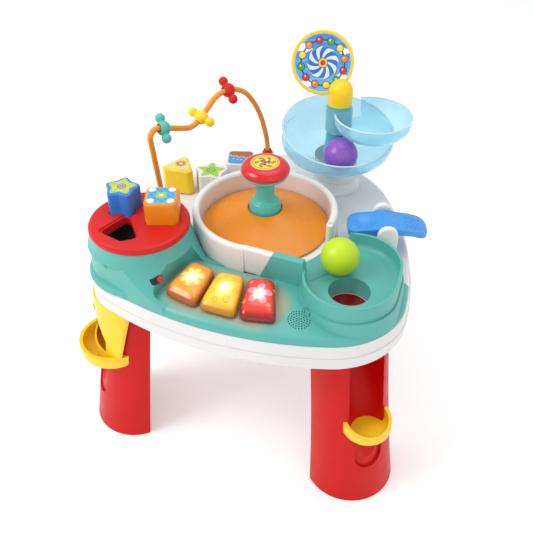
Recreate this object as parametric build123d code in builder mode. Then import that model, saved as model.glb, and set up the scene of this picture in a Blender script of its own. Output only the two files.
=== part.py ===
from build123d import *
import math
import os

os.makedirs("parts", exist_ok=True)

# Musical activity table: a rounded three-sided table top on three plug-in legs,
# with a spinning basin, a ball tower, a shape sorter, light-up keys, a see-saw
# ball lever and a bead wire.  Millimetres, +Z up, feet on Z = 0.

# ---------------------------------------------------------------- driving dimensions
ROT = 3.5                    # turn of the table plan about the basin axis, degrees
OX, OY = 1.8, -44.0            # basin axis in the frame (centres the bounding box)

Z_SKIRT = 290.0              # lower edge of the skirt
Z_SEAM = 310.5               # parting line between the two casings
Z_BAND = 330.0               # top of the white band, foot of the console
Z_FLOOR = 362.0              # basin floor
Z_RIM = 400.0                # basin rim
Z_DRUM = 408.0               # top of the sorter drum
Z_LID = 419.0                # top of the sorter lid
WALL = 2.6                   # general moulding thickness

BALL_R = 28.5                # both balls
R_BASIN = 104.0              # basin bore
R_PLATE = 101.6              # spinning plate
DRUM = (-166.0, -110.4)      # sorter drum axis
R_DRUM = 75.2                # drum at its top edge
R_LID = 76.4
BOWL_A = (158.5, -122.0)     # the ball bowl is the hull of two equal circles
BOWL_B = (160.0, -84.0)
R_BOWL = 65.5
HOLE = (159.5, -125.0)       # ball hole in the bowl
R_HOLE = 30.8
TOWER = (79.0, 186.0)        # ball tower axis
R_COLUMN = 20.0
UPPER = (138.0, 176.0)       # middle of the upper dish
PIVOT = (188.0, 30.0)        # see-saw pivot
Z_PIVOT = 378.0
LEVER_DIR = 15.0             # plan direction of the see-saw, degrees
WIRE_A = (-178.0, 12.0)      # left foot of the bead wire
WIRE_DIR = 62.1              # its plan direction, degrees
WIRE_R = 4.7
PEG_STAR = (-127.7, 109.0)
PEG_SQUARE = (-89.9, 163.0)
PEG_TRI = (-182.0, 100.0)
BLOCK_H = 45.0
Z_BLOCK = 410.0              # underside of the blocks that stand in the lid
STAR_AT = (-200.5, -85.0)
SQUARE_AT = (-134.0, -92.0)
TRI_AT = (-181.5, -137.0)
LEGS = {"right": (-39.5, -50.0), "left": (211.0, 217.0), "back": (86.5, 86.5)}
LEG_TOP_C, LEG_FOOT_C = 211.0, 245.0     # leg axis from the basin axis, top and foot
LEG_TOP_R, LEG_MID_R, LEG_FOOT_R = 62.0, 66.0, 73.0
LEG_T = 3.0
LEG_TOP_Z = 296.0

# skirt plan: three corner arcs (x, y, radius) joined by three long tangent arcs
CORNERS = [(125.7, -98.8, 121.1), (13.1, 89.3, 189.0), (-181.6, -118.0, 67.8)]
LONG = [573.9, 371.7, 563.5]


# ---------------------------------------------------------------- placing helpers
def gxy(x, y):
    a = math.radians(ROT)
    return (OX + x * math.cos(a) - y * math.sin(a), OY + x * math.sin(a) + y * math.cos(a))


def top(z, x=0.0, y=0.0, rot=0.0):
    """Level plane at height z whose origin is the table point (x, y)."""
    a = math.radians(rot + ROT)
    gx, gy = gxy(x, y)
    return Plane(origin=(gx, gy, z), x_dir=(math.cos(a), math.sin(a), 0), z_dir=(0, 0, 1))


def side(x=0.0, y=0.0, rot=0.0, z=0.0):
    """Upright plane through (x, y): its X runs along bearing rot, its Y is up."""
    a = math.radians(rot + ROT)
    gx, gy = gxy(x, y)
    return Plane(origin=(gx, gy, z), x_dir=(math.cos(a), math.sin(a), 0),
                 z_dir=(math.sin(a), -math.cos(a), 0))


def zaxis(x=0.0, y=0.0):
    gx, gy = gxy(x, y)
    return Axis((gx, gy, 0), (0, 0, 1))


def tilted(x, y, z, nx, ny, nz, rot=0.0):
    """Plane at (x, y, z) with normal (nx, ny, nz); X as near bearing rot as it can be."""
    a = math.radians(ROT)
    n = Vector(nx * math.cos(a) - ny * math.sin(a), nx * math.sin(a) + ny * math.cos(a), nz).normalized()
    b = math.radians(rot + ROT)
    x0 = Vector(math.cos(b), math.sin(b), 0)
    xd = (x0 - n * x0.dot(n)).normalized()
    gx, gy = gxy(x, y)
    return Plane(origin=(gx, gy, z), x_dir=xd, z_dir=n)


def polar(x, y, r, deg):
    return (x + r * math.cos(math.radians(deg)), y + r * math.sin(math.radians(deg)))


# centres of the long arcs
long_c = []
for i in range(3):
    (x0, y0, r0), (x1, y1, r1) = CORNERS[i], CORNERS[(i + 1) % 3]
    qa, qb = LONG[i] - r0, LONG[i] - r1
    dd = math.hypot(x1 - x0, y1 - y0)
    tt = (qa * qa - qb * qb + dd * dd) / (2 * dd)
    hh = math.sqrt(qa * qa - tt * tt)
    ux, uy = (x1 - x0) / dd, (y1 - y0) / dd
    long_c.append((x0 + ux * tt - uy * hh, y0 + uy * tt + ux * hh))


def outline(d):
    """The six arcs of the table plan, drawn d inside the skirt."""
    for i in range(3):
        cx, cy, cr = CORNERS[i]
        px, py = long_c[(i + 2) % 3]
        nx, ny = long_c[i]
        a0 = math.degrees(math.atan2(cy - py, cx - px))
        a1 = math.degrees(math.atan2(cy - ny, cx - nx))
        CenterArc((cx, cy), cr - d, a0, (a1 - a0) % 360)
        ex, ey, er = CORNERS[(i + 1) % 3]
        b0 = math.degrees(math.atan2(cy - ny, cx - nx))
        b1 = math.degrees(math.atan2(ey - ny, ex - nx))
        CenterArc((nx, ny), LONG[i] - d, b0, (b1 - b0) % 360)


def table(z0, z1, d, taper=0.0):
    with BuildPart() as s:
        with BuildSketch(top(z0)):
            with BuildLine():
                outline(d)
            make_face()
        extrude(amount=z1 - z0, taper=taper)
    return s.part


def turned(pts, x=0.0, y=0.0):
    """Solid of revolution about the upright axis at (x, y); pts are (radius, z)."""
    with BuildPart() as s:
        with BuildSketch(side(x, y)):
            with BuildLine():
                Polyline(*pts, close=True)
            make_face()
        revolve(axis=zaxis(x, y))
    return s.part


def cyl(x, y, r, z0, z1):
    with BuildPart() as s:
        with BuildSketch(top(z0, x, y)):
            Circle(r)
        extrude(amount=z1 - z0)
    return s.part


def tube(x, y, r, r_in, z0, z1):
    with BuildPart() as s:
        with BuildSketch(top(z0, x, y)):
            Circle(r)
            Circle(r_in, mode=Mode.SUBTRACT)
        extrude(amount=z1 - z0)
    return s.part


def prism(pts, z0, z1, grow=0.0, r=0.0):
    with BuildPart() as s:
        with BuildSketch(top(z0)):
            with BuildLine():
                Polyline(*pts, close=True)
            make_face()
            if grow:
                offset(amount=grow, kind=Kind.INTERSECTION)
        extrude(amount=z1 - z0)
        if r:
            fillet(s.edges().filter_by(Axis.Z), radius=r)
    return s.part


def fuse(*parts):
    with BuildPart() as s:
        for p in parts:
            add(p)
    return s.part


def minus(a, *parts):
    with BuildPart() as s:
        add(a)
        for p in parts:
            add(p, mode=Mode.SUBTRACT)
    return s.part


def common(a, *parts):
    with BuildPart() as s:
        add(a)
        for p in parts:
            add(p, mode=Mode.INTERSECT)
    return s.part


def bowl_prism(z0, z1, r, taper=0.0):
    """Upright hull of the two bowl circles with radius r."""
    dx, dy = BOWL_B[0] - BOWL_A[0], BOWL_B[1] - BOWL_A[1]
    mid = ((BOWL_A[0] + BOWL_B[0]) / 2, (BOWL_A[1] + BOWL_B[1]) / 2)
    with BuildPart() as s:
        with BuildSketch(top(z0, *mid, math.degrees(math.atan2(dy, dx)))):
            SlotCenterToCenter(math.hypot(dx, dy), 2 * r)
        extrude(amount=z1 - z0, taper=taper)
    return s.part


def save(part, name):
    part.label = name
    export_step(part, "parts/" + name + ".step")


# ================================================================= lower casing
def leg_axis(key, z):
    """Leg axis in the table plan at height z."""
    bearing = LEGS[key][0]
    r = LEG_TOP_C + (LEG_FOOT_C - LEG_TOP_C) * (LEG_TOP_Z - z) / LEG_TOP_Z
    return polar(0, 0, r, bearing)


leg_boss = []
for key in LEGS:
    for off in (-75, 75):
        leg_boss.append(polar(*leg_axis(key, LEG_TOP_Z), LEG_TOP_R - 7.4, LEGS[key][1] + off))
case_boss = [(-222, -30), (217, -10), (125, 195), (-142, 160), (-70, -190), (20, -205)]
BATT = (-20.0, 70.0)

with BuildPart() as lower_casing:
    with BuildSketch(top(Z_SKIRT)):
        with BuildLine():
            outline(1.2)
        make_face()
    extrude(amount=Z_SEAM - Z_SKIRT, taper=-3.3)
    with BuildSketch(top(Z_SKIRT)):
        with BuildLine():
            outline(3.9)
        make_face()
    extrude(amount=6.0, mode=Mode.SUBTRACT)
    with BuildSketch(top(298.6)):
        with BuildLine():
            outline(3.6)
        make_face()
    extrude(amount=15.0, mode=Mode.SUBTRACT)
    with BuildSketch(top(Z_SKIRT)):
        with Locations(HOLE):
            Circle(34.0)
        with Locations((-172.9, -102.7)):
            Circle(38.0)
        with Locations(BATT):
            RectangleRounded(92, 62, 4)
    extrude(amount=12, mode=Mode.SUBTRACT)
    with BuildSketch(top(298.6)):
        with Locations(*case_boss):
            Circle(4.2)
    extrude(amount=Z_SEAM - 298.6)
    with BuildSketch(top(298.6)):
        with Locations(*leg_boss):
            Circle(4.4)
    extrude(amount=9.0)
    with BuildSketch(top(Z_SKIRT)):
        with Locations(*case_boss):
            Circle(1.7)
        with Locations(*leg_boss):
            Circle(1.7)
    extrude(amount=30, mode=Mode.SUBTRACT)
    with BuildSketch(top(Z_SKIRT)):
        with Locations(*case_boss):
            Circle(4.2)
    extrude(amount=7.4, mode=Mode.SUBTRACT)
save(lower_casing.part, "lower_casing")

# ================================================================= basin
# double-walled ring with a rounded rim and a floor, open to the front right
basin_ring = turned([(9.0, Z_FLOOR), (R_BASIN, Z_FLOOR), (R_BASIN, 395.5), (105.6, 398.6), (108.4, Z_RIM),
                     (111.2, Z_RIM), (113.8, 398.6), (115.2, 395.5), (118.7, 330.2), (116.0, 330.2),
                     (112.6, 394.5), (111.2, 397.2), (108.2, 397.2), (106.7, 394.5), (106.7, 359.4),
                     (9.0, 359.4)])
LANE_A0, LANE_A1 = -49.4, -7.5
P_LANE = [(-3.0, -90.0), (-3.0, -103.5), (90.0, -115.6)]


def lane_prism(z0, z1, d):
    with BuildPart() as s:
        with BuildSketch(top(z0)):
            with BuildLine():
                arc = CenterArc((0, 0), 154.0, LANE_A0, LANE_A1 - LANE_A0)
                Polyline(arc @ 1, polar(0, 0, 90, LANE_A1), P_LANE[0], P_LANE[1], P_LANE[2], arc @ 0)
            make_face()
            if d:
                offset(amount=-d, kind=Kind.INTERSECTION)
        extrude(amount=z1 - z0)
    return s.part


wedge = prism([(0, 0), (-1.8, -104.2), (-2.2, -125), (110, -170), (200, -100), (200, -31.7)], 329.0, 401.0)
bore = cyl(0, 0, R_BASIN, 320, 410)
with BuildPart() as gap_cut:
    add(wedge)
    add(bore, mode=Mode.SUBTRACT)
lane_box = minus(lane_prism(330.2, Z_FLOOR, 0.0), lane_prism(329.0, 359.4, WALL), cyl(0, 0, 99.0, 320, 359.6))
# the near wall leaves the ring at a tangent
with BuildPart() as near_wall:
    with BuildSketch(side(0, -104.3, -7.4)):
        with BuildLine():
            Polyline((-3.0, 356.0), (25.2, 356.0), (44.4, Z_RIM), (-3.0, Z_RIM), close=True)
        make_face()
    extrude(amount=11.0)
    long_edges = [e for e in near_wall.edges() if e.length > 30 and e.center().Z > 399.9]
    fillet(long_edges, radius=3.6)
# edge of the ring where the lane opens
lane_end = cyl(*polar(0, 0, 109.6, -10.2), 5.4, 356.0, 396.0)
hub_bore = cyl(0, 0, 9.0, 340.0, 366.0)
hub = tube(0, 0, 13.0, 5.0, 344.0, Z_FLOOR)
with BuildPart() as basin:
    add(basin_ring)
    add(gap_cut.part, mode=Mode.SUBTRACT)
    add(lane_box)
    add(near_wall.part)
    add(lane_end)
    add(hub_bore, mode=Mode.SUBTRACT)
    add(hub)
save(basin.part, "basin")

# ================================================================= console
deck_tilt = 0.15             # fall of the console deck away from the basin


def deck_z(r):
    return 360.5 - deck_tilt * (r - 116.0)


def console_deck(t):
    """Deck volume with a rounded shoulder; t > 0 gives the hollow inside the wall."""
    body = table(Z_BAND - (1.0 if t else 0.0), 372.0, 4.8 + t)
    cone = turned([(0, 300), (330, 300), (330, deck_z(330) - t), (60, deck_z(60) - t), (0, deck_z(60) - t)])
    with BuildPart() as s:
        add(body)
        add(cone, mode=Mode.INTERSECT)
        rim = [e for e in s.edges() if e.bounding_box().min.Z > 333.0]
        fillet(rim, radius=12.0 - t)
    return s.part


def drum_body(t):
    z0 = Z_BAND - (1.0 if t else 0.0)
    with BuildPart() as s:
        with BuildSketch(side(*DRUM)):
            with BuildLine():
                Polyline((0, Z_DRUM + (1.0 if t else 0.0)), (0, z0), (128 - t, z0), (122 - t, 343.0 - t * 0.8))
                ThreePointArc((122 - t, 343.0 - t * 0.8), (93.0 - t * 0.8, 366.0 - t * 0.6), (77.3 - t, 395.0))
                Polyline((77.3 - t, 395.0), (R_DRUM - t, Z_DRUM + (1.0 if t else 0.0)),
                         (0, Z_DRUM + (1.0 if t else 0.0)))
            make_face()
        revolve(axis=zaxis(*DRUM))
    return s.part


def footprint(g, z0=322.0, z1=430.0):
    """Upright prism over the part of the table that the console covers."""
    with BuildPart() as s:
        with BuildSketch(top(z0)):
            with BuildLine():
                Polyline((-300, -109 + g), (-190, -109 + g), (-108, -62), (0, -20), (110, -26 + g),
                         (150, -26 + g), (190, -62 + g), (300, -62 + g), (300, -300), (-300, -300),
                         close=True)
            make_face()
            with Locations(DRUM):
                Circle(83.0 + g)
            with Locations(BOWL_B):
                Circle(R_BOWL + 4.0 + g)
            Circle(119.3 - g, mode=Mode.SUBTRACT)
        extrude(amount=z1 - z0)
    return s.part


key_quads = [[(-80, -122), (-103, -190), (-47, -206), (-38, -134)],
             [(-36.2, -134), (-45, -206.3), (14, -211.6), (8.3, -137)],
             [(10.8, -137), (16.6, -211.8), (72, -206), (51, -132)]]
tray_quad = [(-85, -109), (-119, -201), (78, -219), (52, -123)]
KEY_SLOPE = 0.13             # the key row lies in a plane that falls to the front


def slope_slab(z0, z1):
    """Slab between two planes that fall to the front, z0 and z1 at y = -170."""
    with BuildPart() as s:
        with BuildSketch(side(0, 0, 90.0)):
            with BuildLine():
                Polyline((-90, z0 + KEY_SLOPE * 80), (-240, z0 - KEY_SLOPE * 70),
                         (-240, z1 - KEY_SLOPE * 70), (-90, z1 + KEY_SLOPE * 80), close=True)
            make_face()
        extrude(amount=150, both=True)
    return s.part


SPEAKER = (99.5, -186.0)
SWITCH = (-119.5, -176.5, 366.5)
sw_plane = tilted(*SWITCH, 0.45, -0.60, 0.66, rot=62.0)
grille = [(0.0, 0.0)]
for ring_n in range(1, 5):
    for i in range(6 * ring_n):
        t = 2 * math.pi * (i + 0.5 * (ring_n % 2)) / (6 * ring_n)
        grille.append((3.9 * ring_n * math.cos(t), 3.9 * ring_n * math.sin(t)))

tray_pocket = common(prism(tray_quad, 335, 385, r=9.0), slope_slab(350.6, 390.0))
tray_keep = common(prism(tray_quad, 330, 385, grow=WALL, r=9.0), slope_slab(348.0, 390.0))
foot_plan = footprint(0)
clip = table(Z_BAND - 1, 386.0, 4.7, taper=2.4)
clip_in = table(Z_BAND - 2, 387.0, 4.7 + WALL, taper=2.4)
deck_out = console_deck(0.0)
drum_out = drum_body(0.0)
drum_cap = common(drum_out, cyl(*DRUM, 90, 385.0, 409.0))
foot = bowl_prism(Z_BAND, 359.8, 76.6, taper=8.0)
foot_in = bowl_prism(Z_BAND - 1, 358.0, 76.6 - WALL, taper=8.0)
upper_wall = bowl_prism(355.0, 386.0, R_BOWL + 4.4, taper=2.0)
# pocket of the bowl with a coved floor
pocket_blank = bowl_prism(361.6, 388.0, R_BOWL - 0.4)
with BuildPart() as bowl_pocket:
    add(pocket_blank)
    fillet(bowl_pocket.faces().sort_by(Axis.Z)[0].edges(), radius=9.0)
with BuildPart() as guard:
    with BuildSketch(side(0, -104.3, -7.4)):
        with BuildLine():
            Polyline((24.5, 354.0), (44.8, 400.6), (91.5, 400.6), (95.0, 376.0), (95.0, 354.0), close=True)
        make_face()
    extrude(amount=12.0)
    fillet([e for e in guard.edges() if e.center().Z > 400 and e.length > 30], radius=1.6)
wall_slot = minus(prism([(-6, -103.0), (27, -107.3), (46.5, -109.8), (48.5, -124.5), (27, -122.0), (-6, -117.6)],
                        355.7, 402.0), fuse(guard.part))

with BuildPart() as console:
    add(deck_out)
    add(drum_out)
    add(foot)
    add(clip, mode=Mode.INTERSECT)
    add(drum_cap)
    add(upper_wall)
    add(bowl_pocket.part, mode=Mode.SUBTRACT)
    add(guard.part)
    add(tray_pocket, mode=Mode.SUBTRACT)
    add(foot_plan, mode=Mode.INTERSECT)
hollow = fuse(console_deck(WALL), drum_body(WALL), foot_in)
hollow = common(hollow, clip_in)
hollow = minus(hollow, bowl_prism(359.2, 392.0, R_BOWL + 1.6), tray_keep)
lane_slot = lane_prism(329.0, 405.0, -0.3)
hole_tube = cyl(*HOLE, R_HOLE + 2.6, 331.0, 360.5)
hole_bore = cyl(*HOLE, R_HOLE, 320.0, 366.0)
key_windows = [prism(q, 330, 372, grow=-8.6, r=4.0) for q in key_quads]
drum_open = cyl(*DRUM, R_DRUM - WALL, 385.0, 412.0)
with BuildPart() as console2:
    add(console.part)
    add(hollow, mode=Mode.SUBTRACT)
    add(drum_open, mode=Mode.SUBTRACT)
    add(lane_slot, mode=Mode.SUBTRACT)
    add(guard.part)
    add(wall_slot, mode=Mode.SUBTRACT)
    # short tube under the ball hole
    add(hole_tube)
    add(hole_bore, mode=Mode.SUBTRACT)
    # key windows
    for w in key_windows:
        add(w, mode=Mode.SUBTRACT)
    # speaker grille
    with BuildSketch(top(330, *SPEAKER, 12)):
        with Locations(*grille):
            Circle(1.15)
    extrude(amount=30, mode=Mode.SUBTRACT)
    # switch slot
    with BuildSketch(sw_plane.offset(-7)):
        SlotOverall(19.0, 8.6)
    extrude(amount=16, mode=Mode.SUBTRACT)
save(console2.part, "console")
print("console", len(console2.part.solids()), round(console2.part.volume))

# ================================================================= top casing
def casing_deck_z(r):
    return 341.0 - 0.035 * (r - 119.0)


def casing_deck(t):
    body = table(318.0, 372.0, 4.3 + t)
    cone = turned([(0, 300), (330, 300), (330, casing_deck_z(330) - t), (60, casing_deck_z(60) - t),
                   (0, casing_deck_z(60) - t)])
    with BuildPart() as s:
        add(body)
        add(cone, mode=Mode.INTERSECT)
        rim = [e for e in s.edges() if e.bounding_box().min.Z > 325.0]
        fillet(rim, radius=8.0 - t)
    return s.part


band = table(Z_SEAM, Z_BAND, 0.9, taper=8.7)
band_in = table(Z_SEAM - 1, Z_BAND - WALL, 3.6, taper=8.7)
deck_white = casing_deck(0.0)
deck_white_in = casing_deck(WALL)
base_keep = cyl(0, 0, 119.2 + WALL, 327.4, 345.0)
seat = cyl(0, 0, 119.0, Z_BAND, 400.0)
plate_keep = footprint(WALL + 0.3, 327.4, 345.0)
plate_top = footprint(0.3, Z_BAND, 400.0)
lane_seat = lane_prism(Z_BAND, 400.0, -0.3)
inside = minus(fuse(deck_white_in, band_in), base_keep, plate_keep)


def star_points(r1, r2, turn=0.0):
    return [polar(0, 0, r1 if k % 2 == 0 else r2, turn + 36 * k) for k in range(10)]


def star_prism(x, y, rot, r1, r2, z0, z1, f1, f2, taper=0.0):
    """Five-lobed star block."""
    with BuildPart() as s:
        with BuildSketch(top(z0, x, y, rot)) as sk:
            with BuildLine():
                Polyline(*star_points(r1, r2), close=True)
            make_face()
            outer = [v for v in sk.vertices() if math.hypot(v.X - gxy(x, y)[0], v.Y - gxy(x, y)[1]) > (r1 + r2) / 2]
            inner = [v for v in sk.vertices() if math.hypot(v.X - gxy(x, y)[0], v.Y - gxy(x, y)[1]) <= (r1 + r2) / 2]
            fillet(outer, radius=f1)
            inner = [v for v in sk.vertices() if math.hypot(v.X - gxy(x, y)[0], v.Y - gxy(x, y)[1]) < r2 + 0.2]
            fillet(inner, radius=f2)
        extrude(amount=z1 - z0, taper=taper)
    return s.part


def box_prism(x, y, rot, w, d, z0, z1, r, taper=0.0):
    with BuildPart() as s:
        with BuildSketch(top(z0, x, y, rot)):
            RectangleRounded(w, d, r)
        extrude(amount=z1 - z0, taper=taper)
    return s.part


def tri_prism(x, y, rot, r, z0, z1, f, taper=0.0):
    with BuildPart() as s:
        with BuildSketch(top(z0, x, y, rot)) as sk:
            RegularPolygon(radius=r, side_count=3)
            fillet(sk.vertices(), radius=f)
        extrude(amount=z1 - z0, taper=taper)
    return s.part


STAR_ROT, SQUARE_ROT, TRI_ROT = 100.0, 15.0, 90.0
peg_star = star_prism(*PEG_STAR, STAR_ROT, 31.0, 22.0, 334.0, 378.5, 5.0, 8.0)
peg_square = box_prism(*PEG_SQUARE, 12.0, 50.0, 50.0, 334.0, 378.5, 9.0)
peg_tri = tri_prism(*PEG_TRI, TRI_ROT, 27.0, 334.0, 368.0, 6.0)
wire_boss_a = cyl(*WIRE_A, 9.0, 330.0, 343.0)
WIRE_B = polar(*WIRE_A, 253.8, WIRE_DIR)
wire_boss_b = cyl(*WIRE_B, 12.5, 326.0, 351.5)
hole_wire_a = cyl(*WIRE_A, WIRE_R + 0.5, 334.0, 350.0)
hole_wire_b = cyl(*WIRE_B, WIRE_R + 0.4, 338.0, 360.0)
tower_pad = cyl(*TOWER, 47.5, 330.0, 341.5)
LEVER_N = LEVER_DIR - 90.0
ear_at = {"front": polar(*PIVOT, 32.5, LEVER_N), "rear": polar(*PIVOT, -32.5, LEVER_N)}
PIN_R = 3.0


def ear(key):
    """Rounded upright ear, 10 mm thick, that widens to its foot."""
    cx, cy = ear_at[key]
    with BuildPart() as s:
        with BuildSketch(side(cx, cy, LEVER_DIR)):
            with BuildLine():
                Polyline((-16.0, 379.0), (-16.0, 356.0), (-24.0, 333.0), (24.0, 333.0), (16.0, 356.0), (16.0, 379.0))
                CenterArc((0.0, 379.0), 16.0, 0.0, 180.0)
            make_face()
        extrude(amount=5.0, both=True)
        fillet([e for e in s.edges() if e.center().Z > 360 and e.length > 15], radius=3.0)
    return s.part


ear_front, ear_rear = ear("front"), ear("rear")
with BuildPart() as pin_bore:
    with BuildSketch(side(*PIVOT, LEVER_DIR)):
        with Locations((0.0, Z_PIVOT)):
            Circle(PIN_R + 0.05)
    extrude(amount=60, both=True)
bosses = [tube(bx, by, 4.2, 1.2, Z_SEAM, 328.5 if by < -100 else 335.5) for bx, by in case_boss]
peg_voids = [star_prism(*PEG_STAR, STAR_ROT, 28.0, 19.4, 320.0, 376.0, 4.0, 8.0),
             box_prism(*PEG_SQUARE, 12.0, 45.0, 45.0, 320.0, 376.0, 7.0),
             tri_prism(*PEG_TRI, TRI_ROT, 21.8, 320.0, 365.4, 4.0)]
case_bores = [cyl(bx, by, 1.2, Z_SEAM - 2, 324.0) for bx, by in case_boss]
under_hub = cyl(0, 0, 40.0, 320.0, 335.0)
under_hole = cyl(*HOLE, R_HOLE + 3.2, 320.0, 335.0)
under_drum = cyl(*DRUM, 70.0, 320.0, 335.0)
sound_hole = cyl(*SPEAKER, 14.0, 320.0, 335.0)

with BuildPart() as top_casing:
    add(band)
    add(deck_white)
    add(inside, mode=Mode.SUBTRACT)
    for p in (peg_star, peg_square, peg_tri, wire_boss_a, wire_boss_b, tower_pad, ear_front, ear_rear):
        add(p)
    add(seat, mode=Mode.SUBTRACT)
    add(plate_top, mode=Mode.SUBTRACT)
    add(lane_seat, mode=Mode.SUBTRACT)
    for p in bosses:
        add(p)
    for p in peg_voids + case_bores + [hole_wire_a, hole_wire_b, pin_bore.part, under_hub, under_hole, under_drum]:
        add(p, mode=Mode.SUBTRACT)
save(top_casing.part, "top_casing")
print("top", len(top_casing.part.solids()), round(top_casing.part.volume))

# two stickers on the pegs
s1 = star_prism(*PEG_STAR, STAR_ROT, 27.5, 13.5, 378.5, 379.1, 2.5, 3.0)
s2 = box_prism(*PEG_SQUARE, 12.0, 43.0, 43.0, 378.5, 379.1, 8.0)
with BuildPart() as peg_stickers:
    add(s1)
    add(s2)
save(peg_stickers.part, "peg_stickers")

# ================================================================= sorter lid
lid_skin = turned([(0, Z_DRUM + 0.1), (R_LID - 1.2, Z_DRUM + 0.1), (R_LID, 410.0), (R_LID, 414.0), (74.6, 417.2), (71.0, Z_LID),
                   (0, Z_LID)])
lid_void = turned([(0, 405.0), (73.0, 405.0), (73.0, 413.5), (70.0, 416.2), (0, 416.2)])
lid_spigot = tube(*DRUM, R_DRUM - WALL - 0.2, R_DRUM - WALL - 2.6, 403.0, 416.4)


def moved(part, x, y):
    gx, gy = gxy(x, y)
    zx, zy = gxy(0, 0)
    return part.moved(Location((gx - zx, gy - zy, 0)))


lid_skin, lid_void = moved(lid_skin, *DRUM), moved(lid_void, *DRUM)
star_hole = star_prism(*STAR_AT, STAR_ROT, 31.2, 22.2, 396, 430, 5.4, 7.6)
square_hole = box_prism(*SQUARE_AT, SQUARE_ROT, 51.6, 51.6, 396, 430, 9.4)
TRI_POLY = [(-208, -148), (-195, -106), (-181, -103), (-165, -118), (-154, -146), (-166, -163), (-196, -161)]
tri_hole = prism([(-211, -153), (-187, -101), (-151, -152), (-172, -166)], 396, 430, r=7.0)
tri_lip = prism([(-211, -153), (-187, -101), (-151, -152), (-172, -166)], Z_LID - 2.2, 430, grow=3.2, r=9.0)
star_collar = star_prism(*STAR_AT, STAR_ROT, 33.8, 24.8, 407, 418, 6.0, 7.0)
square_collar = box_prism(*SQUARE_AT, SQUARE_ROT, 56.4, 56.4, 407, 418, 11.0)
tri_collar = prism([(-211, -153), (-187, -101), (-151, -152), (-172, -166)], 404, 418, grow=5.6, r=9.0)
lid_clip = cyl(*DRUM, R_DRUM - WALL - 0.2, 395, 430)
collars = common(fuse(star_collar, square_collar, tri_collar), lid_clip)
with BuildPart() as sorter_lid:
    add(lid_skin)
    add(lid_void, mode=Mode.SUBTRACT)
    add(lid_spigot)
    add(collars)
    add(star_hole, mode=Mode.SUBTRACT)
    add(square_hole, mode=Mode.SUBTRACT)
    add(tri_hole, mode=Mode.SUBTRACT)
    add(tri_lip, mode=Mode.SUBTRACT)
save(sorter_lid.part, "sorter_lid")
print("lid", len(sorter_lid.part.solids()), round(sorter_lid.part.volume))

# ================================================================= blocks
with BuildPart() as block_star:
    add(star_prism(*STAR_AT, STAR_ROT, 29.6, 20.6, Z_BLOCK, Z_BLOCK + BLOCK_H, 5.0, 8.0))
    fillet(block_star.faces().sort_by(Axis.Z)[-1].edges(), radius=2.4)
star_void = star_prism(*STAR_AT, STAR_ROT, 27.0, 18.2, Z_BLOCK - 1.0, Z_BLOCK + 42.4, 4.0, 8.0)
with BuildPart() as block_star2:
    add(block_star.part)
    add(star_void, mode=Mode.SUBTRACT)
save(block_star2.part, "block_star")
with BuildPart() as block_square:
    add(box_prism(*SQUARE_AT, SQUARE_ROT, 50.0, 50.0, Z_BLOCK, Z_BLOCK + BLOCK_H, 9.0))
    fillet(block_square.faces().sort_by(Axis.Z)[-1].edges(), radius=3.4)
square_void = box_prism(*SQUARE_AT, SQUARE_ROT, 45.0, 45.0, Z_BLOCK - 1.0, Z_BLOCK + 42.2, 7.0)
with BuildPart() as block_square2:
    add(block_square.part)
    add(square_void, mode=Mode.SUBTRACT)
save(block_square2.part, "block_square")
TRI_Z = 341.0
with BuildPart() as block_triangle:
    add(tri_prism(*PEG_TRI, TRI_ROT, 39.0, TRI_Z, TRI_Z + BLOCK_H, 9.0))
    fillet(block_triangle.faces().sort_by(Axis.Z)[-1].edges(), radius=3.0)
tri_void = tri_prism(*PEG_TRI, TRI_ROT, 33.8, TRI_Z - 1, TRI_Z + BLOCK_H - 2.8, 7.0)
with BuildPart() as block_triangle2:
    add(block_triangle.part)
    add(tri_void, mode=Mode.SUBTRACT)
save(block_triangle2.part, "block_triangle")
st1 = star_prism(*STAR_AT, STAR_ROT, 25.0, 14.0, Z_BLOCK + BLOCK_H, Z_BLOCK + BLOCK_H + 0.5, 3.0, 4.0)
save(st1, "star_sticker")
st2 = box_prism(*SQUARE_AT, SQUARE_ROT, 41.0, 41.0, Z_BLOCK + BLOCK_H, Z_BLOCK + BLOCK_H + 0.5, 7.0)
save(st2, "square_sticker")
st3 = tri_prism(*PEG_TRI, TRI_ROT, 29.5, TRI_Z + BLOCK_H, TRI_Z + BLOCK_H + 0.5, 5.0)
save(st3, "triangle_sticker")

# ================================================================= legs
CH_R = 30.0                  # radius of the channel that runs down each leg
CH_AXIS = [(-24.0, 312.0), (62.0, 170.0), (101.0, 100.0)]


def leg_blank(key, inset):
    """Leg as a solid: a half cone that leans outwards."""
    facing = LEGS[key][1]
    with BuildPart() as s:
        for z, r in ((0.0, LEG_FOOT_R), (130.0, LEG_MID_R), (LEG_TOP_Z, LEG_TOP_R)):
            zz = z if not inset else (z - 1.0 if z == 0.0 else (z if z == 130.0 else LEG_TOP_Z - 3.0))
            with BuildSketch(top(zz, *leg_axis(key, zz), facing)):
                with BuildLine():
                    if inset:
                        q = r - inset
                        CenterArc((0, 0), q, -90, 180)
                        Polyline((0, q), (-40, q), (-40, -q), (0, -q))
                    else:
                        arc = CenterArc((0, 0), r, -92, 184)
                        Line(arc @ 1, arc @ 0)
                make_face()
        loft()
    return s.part


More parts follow.
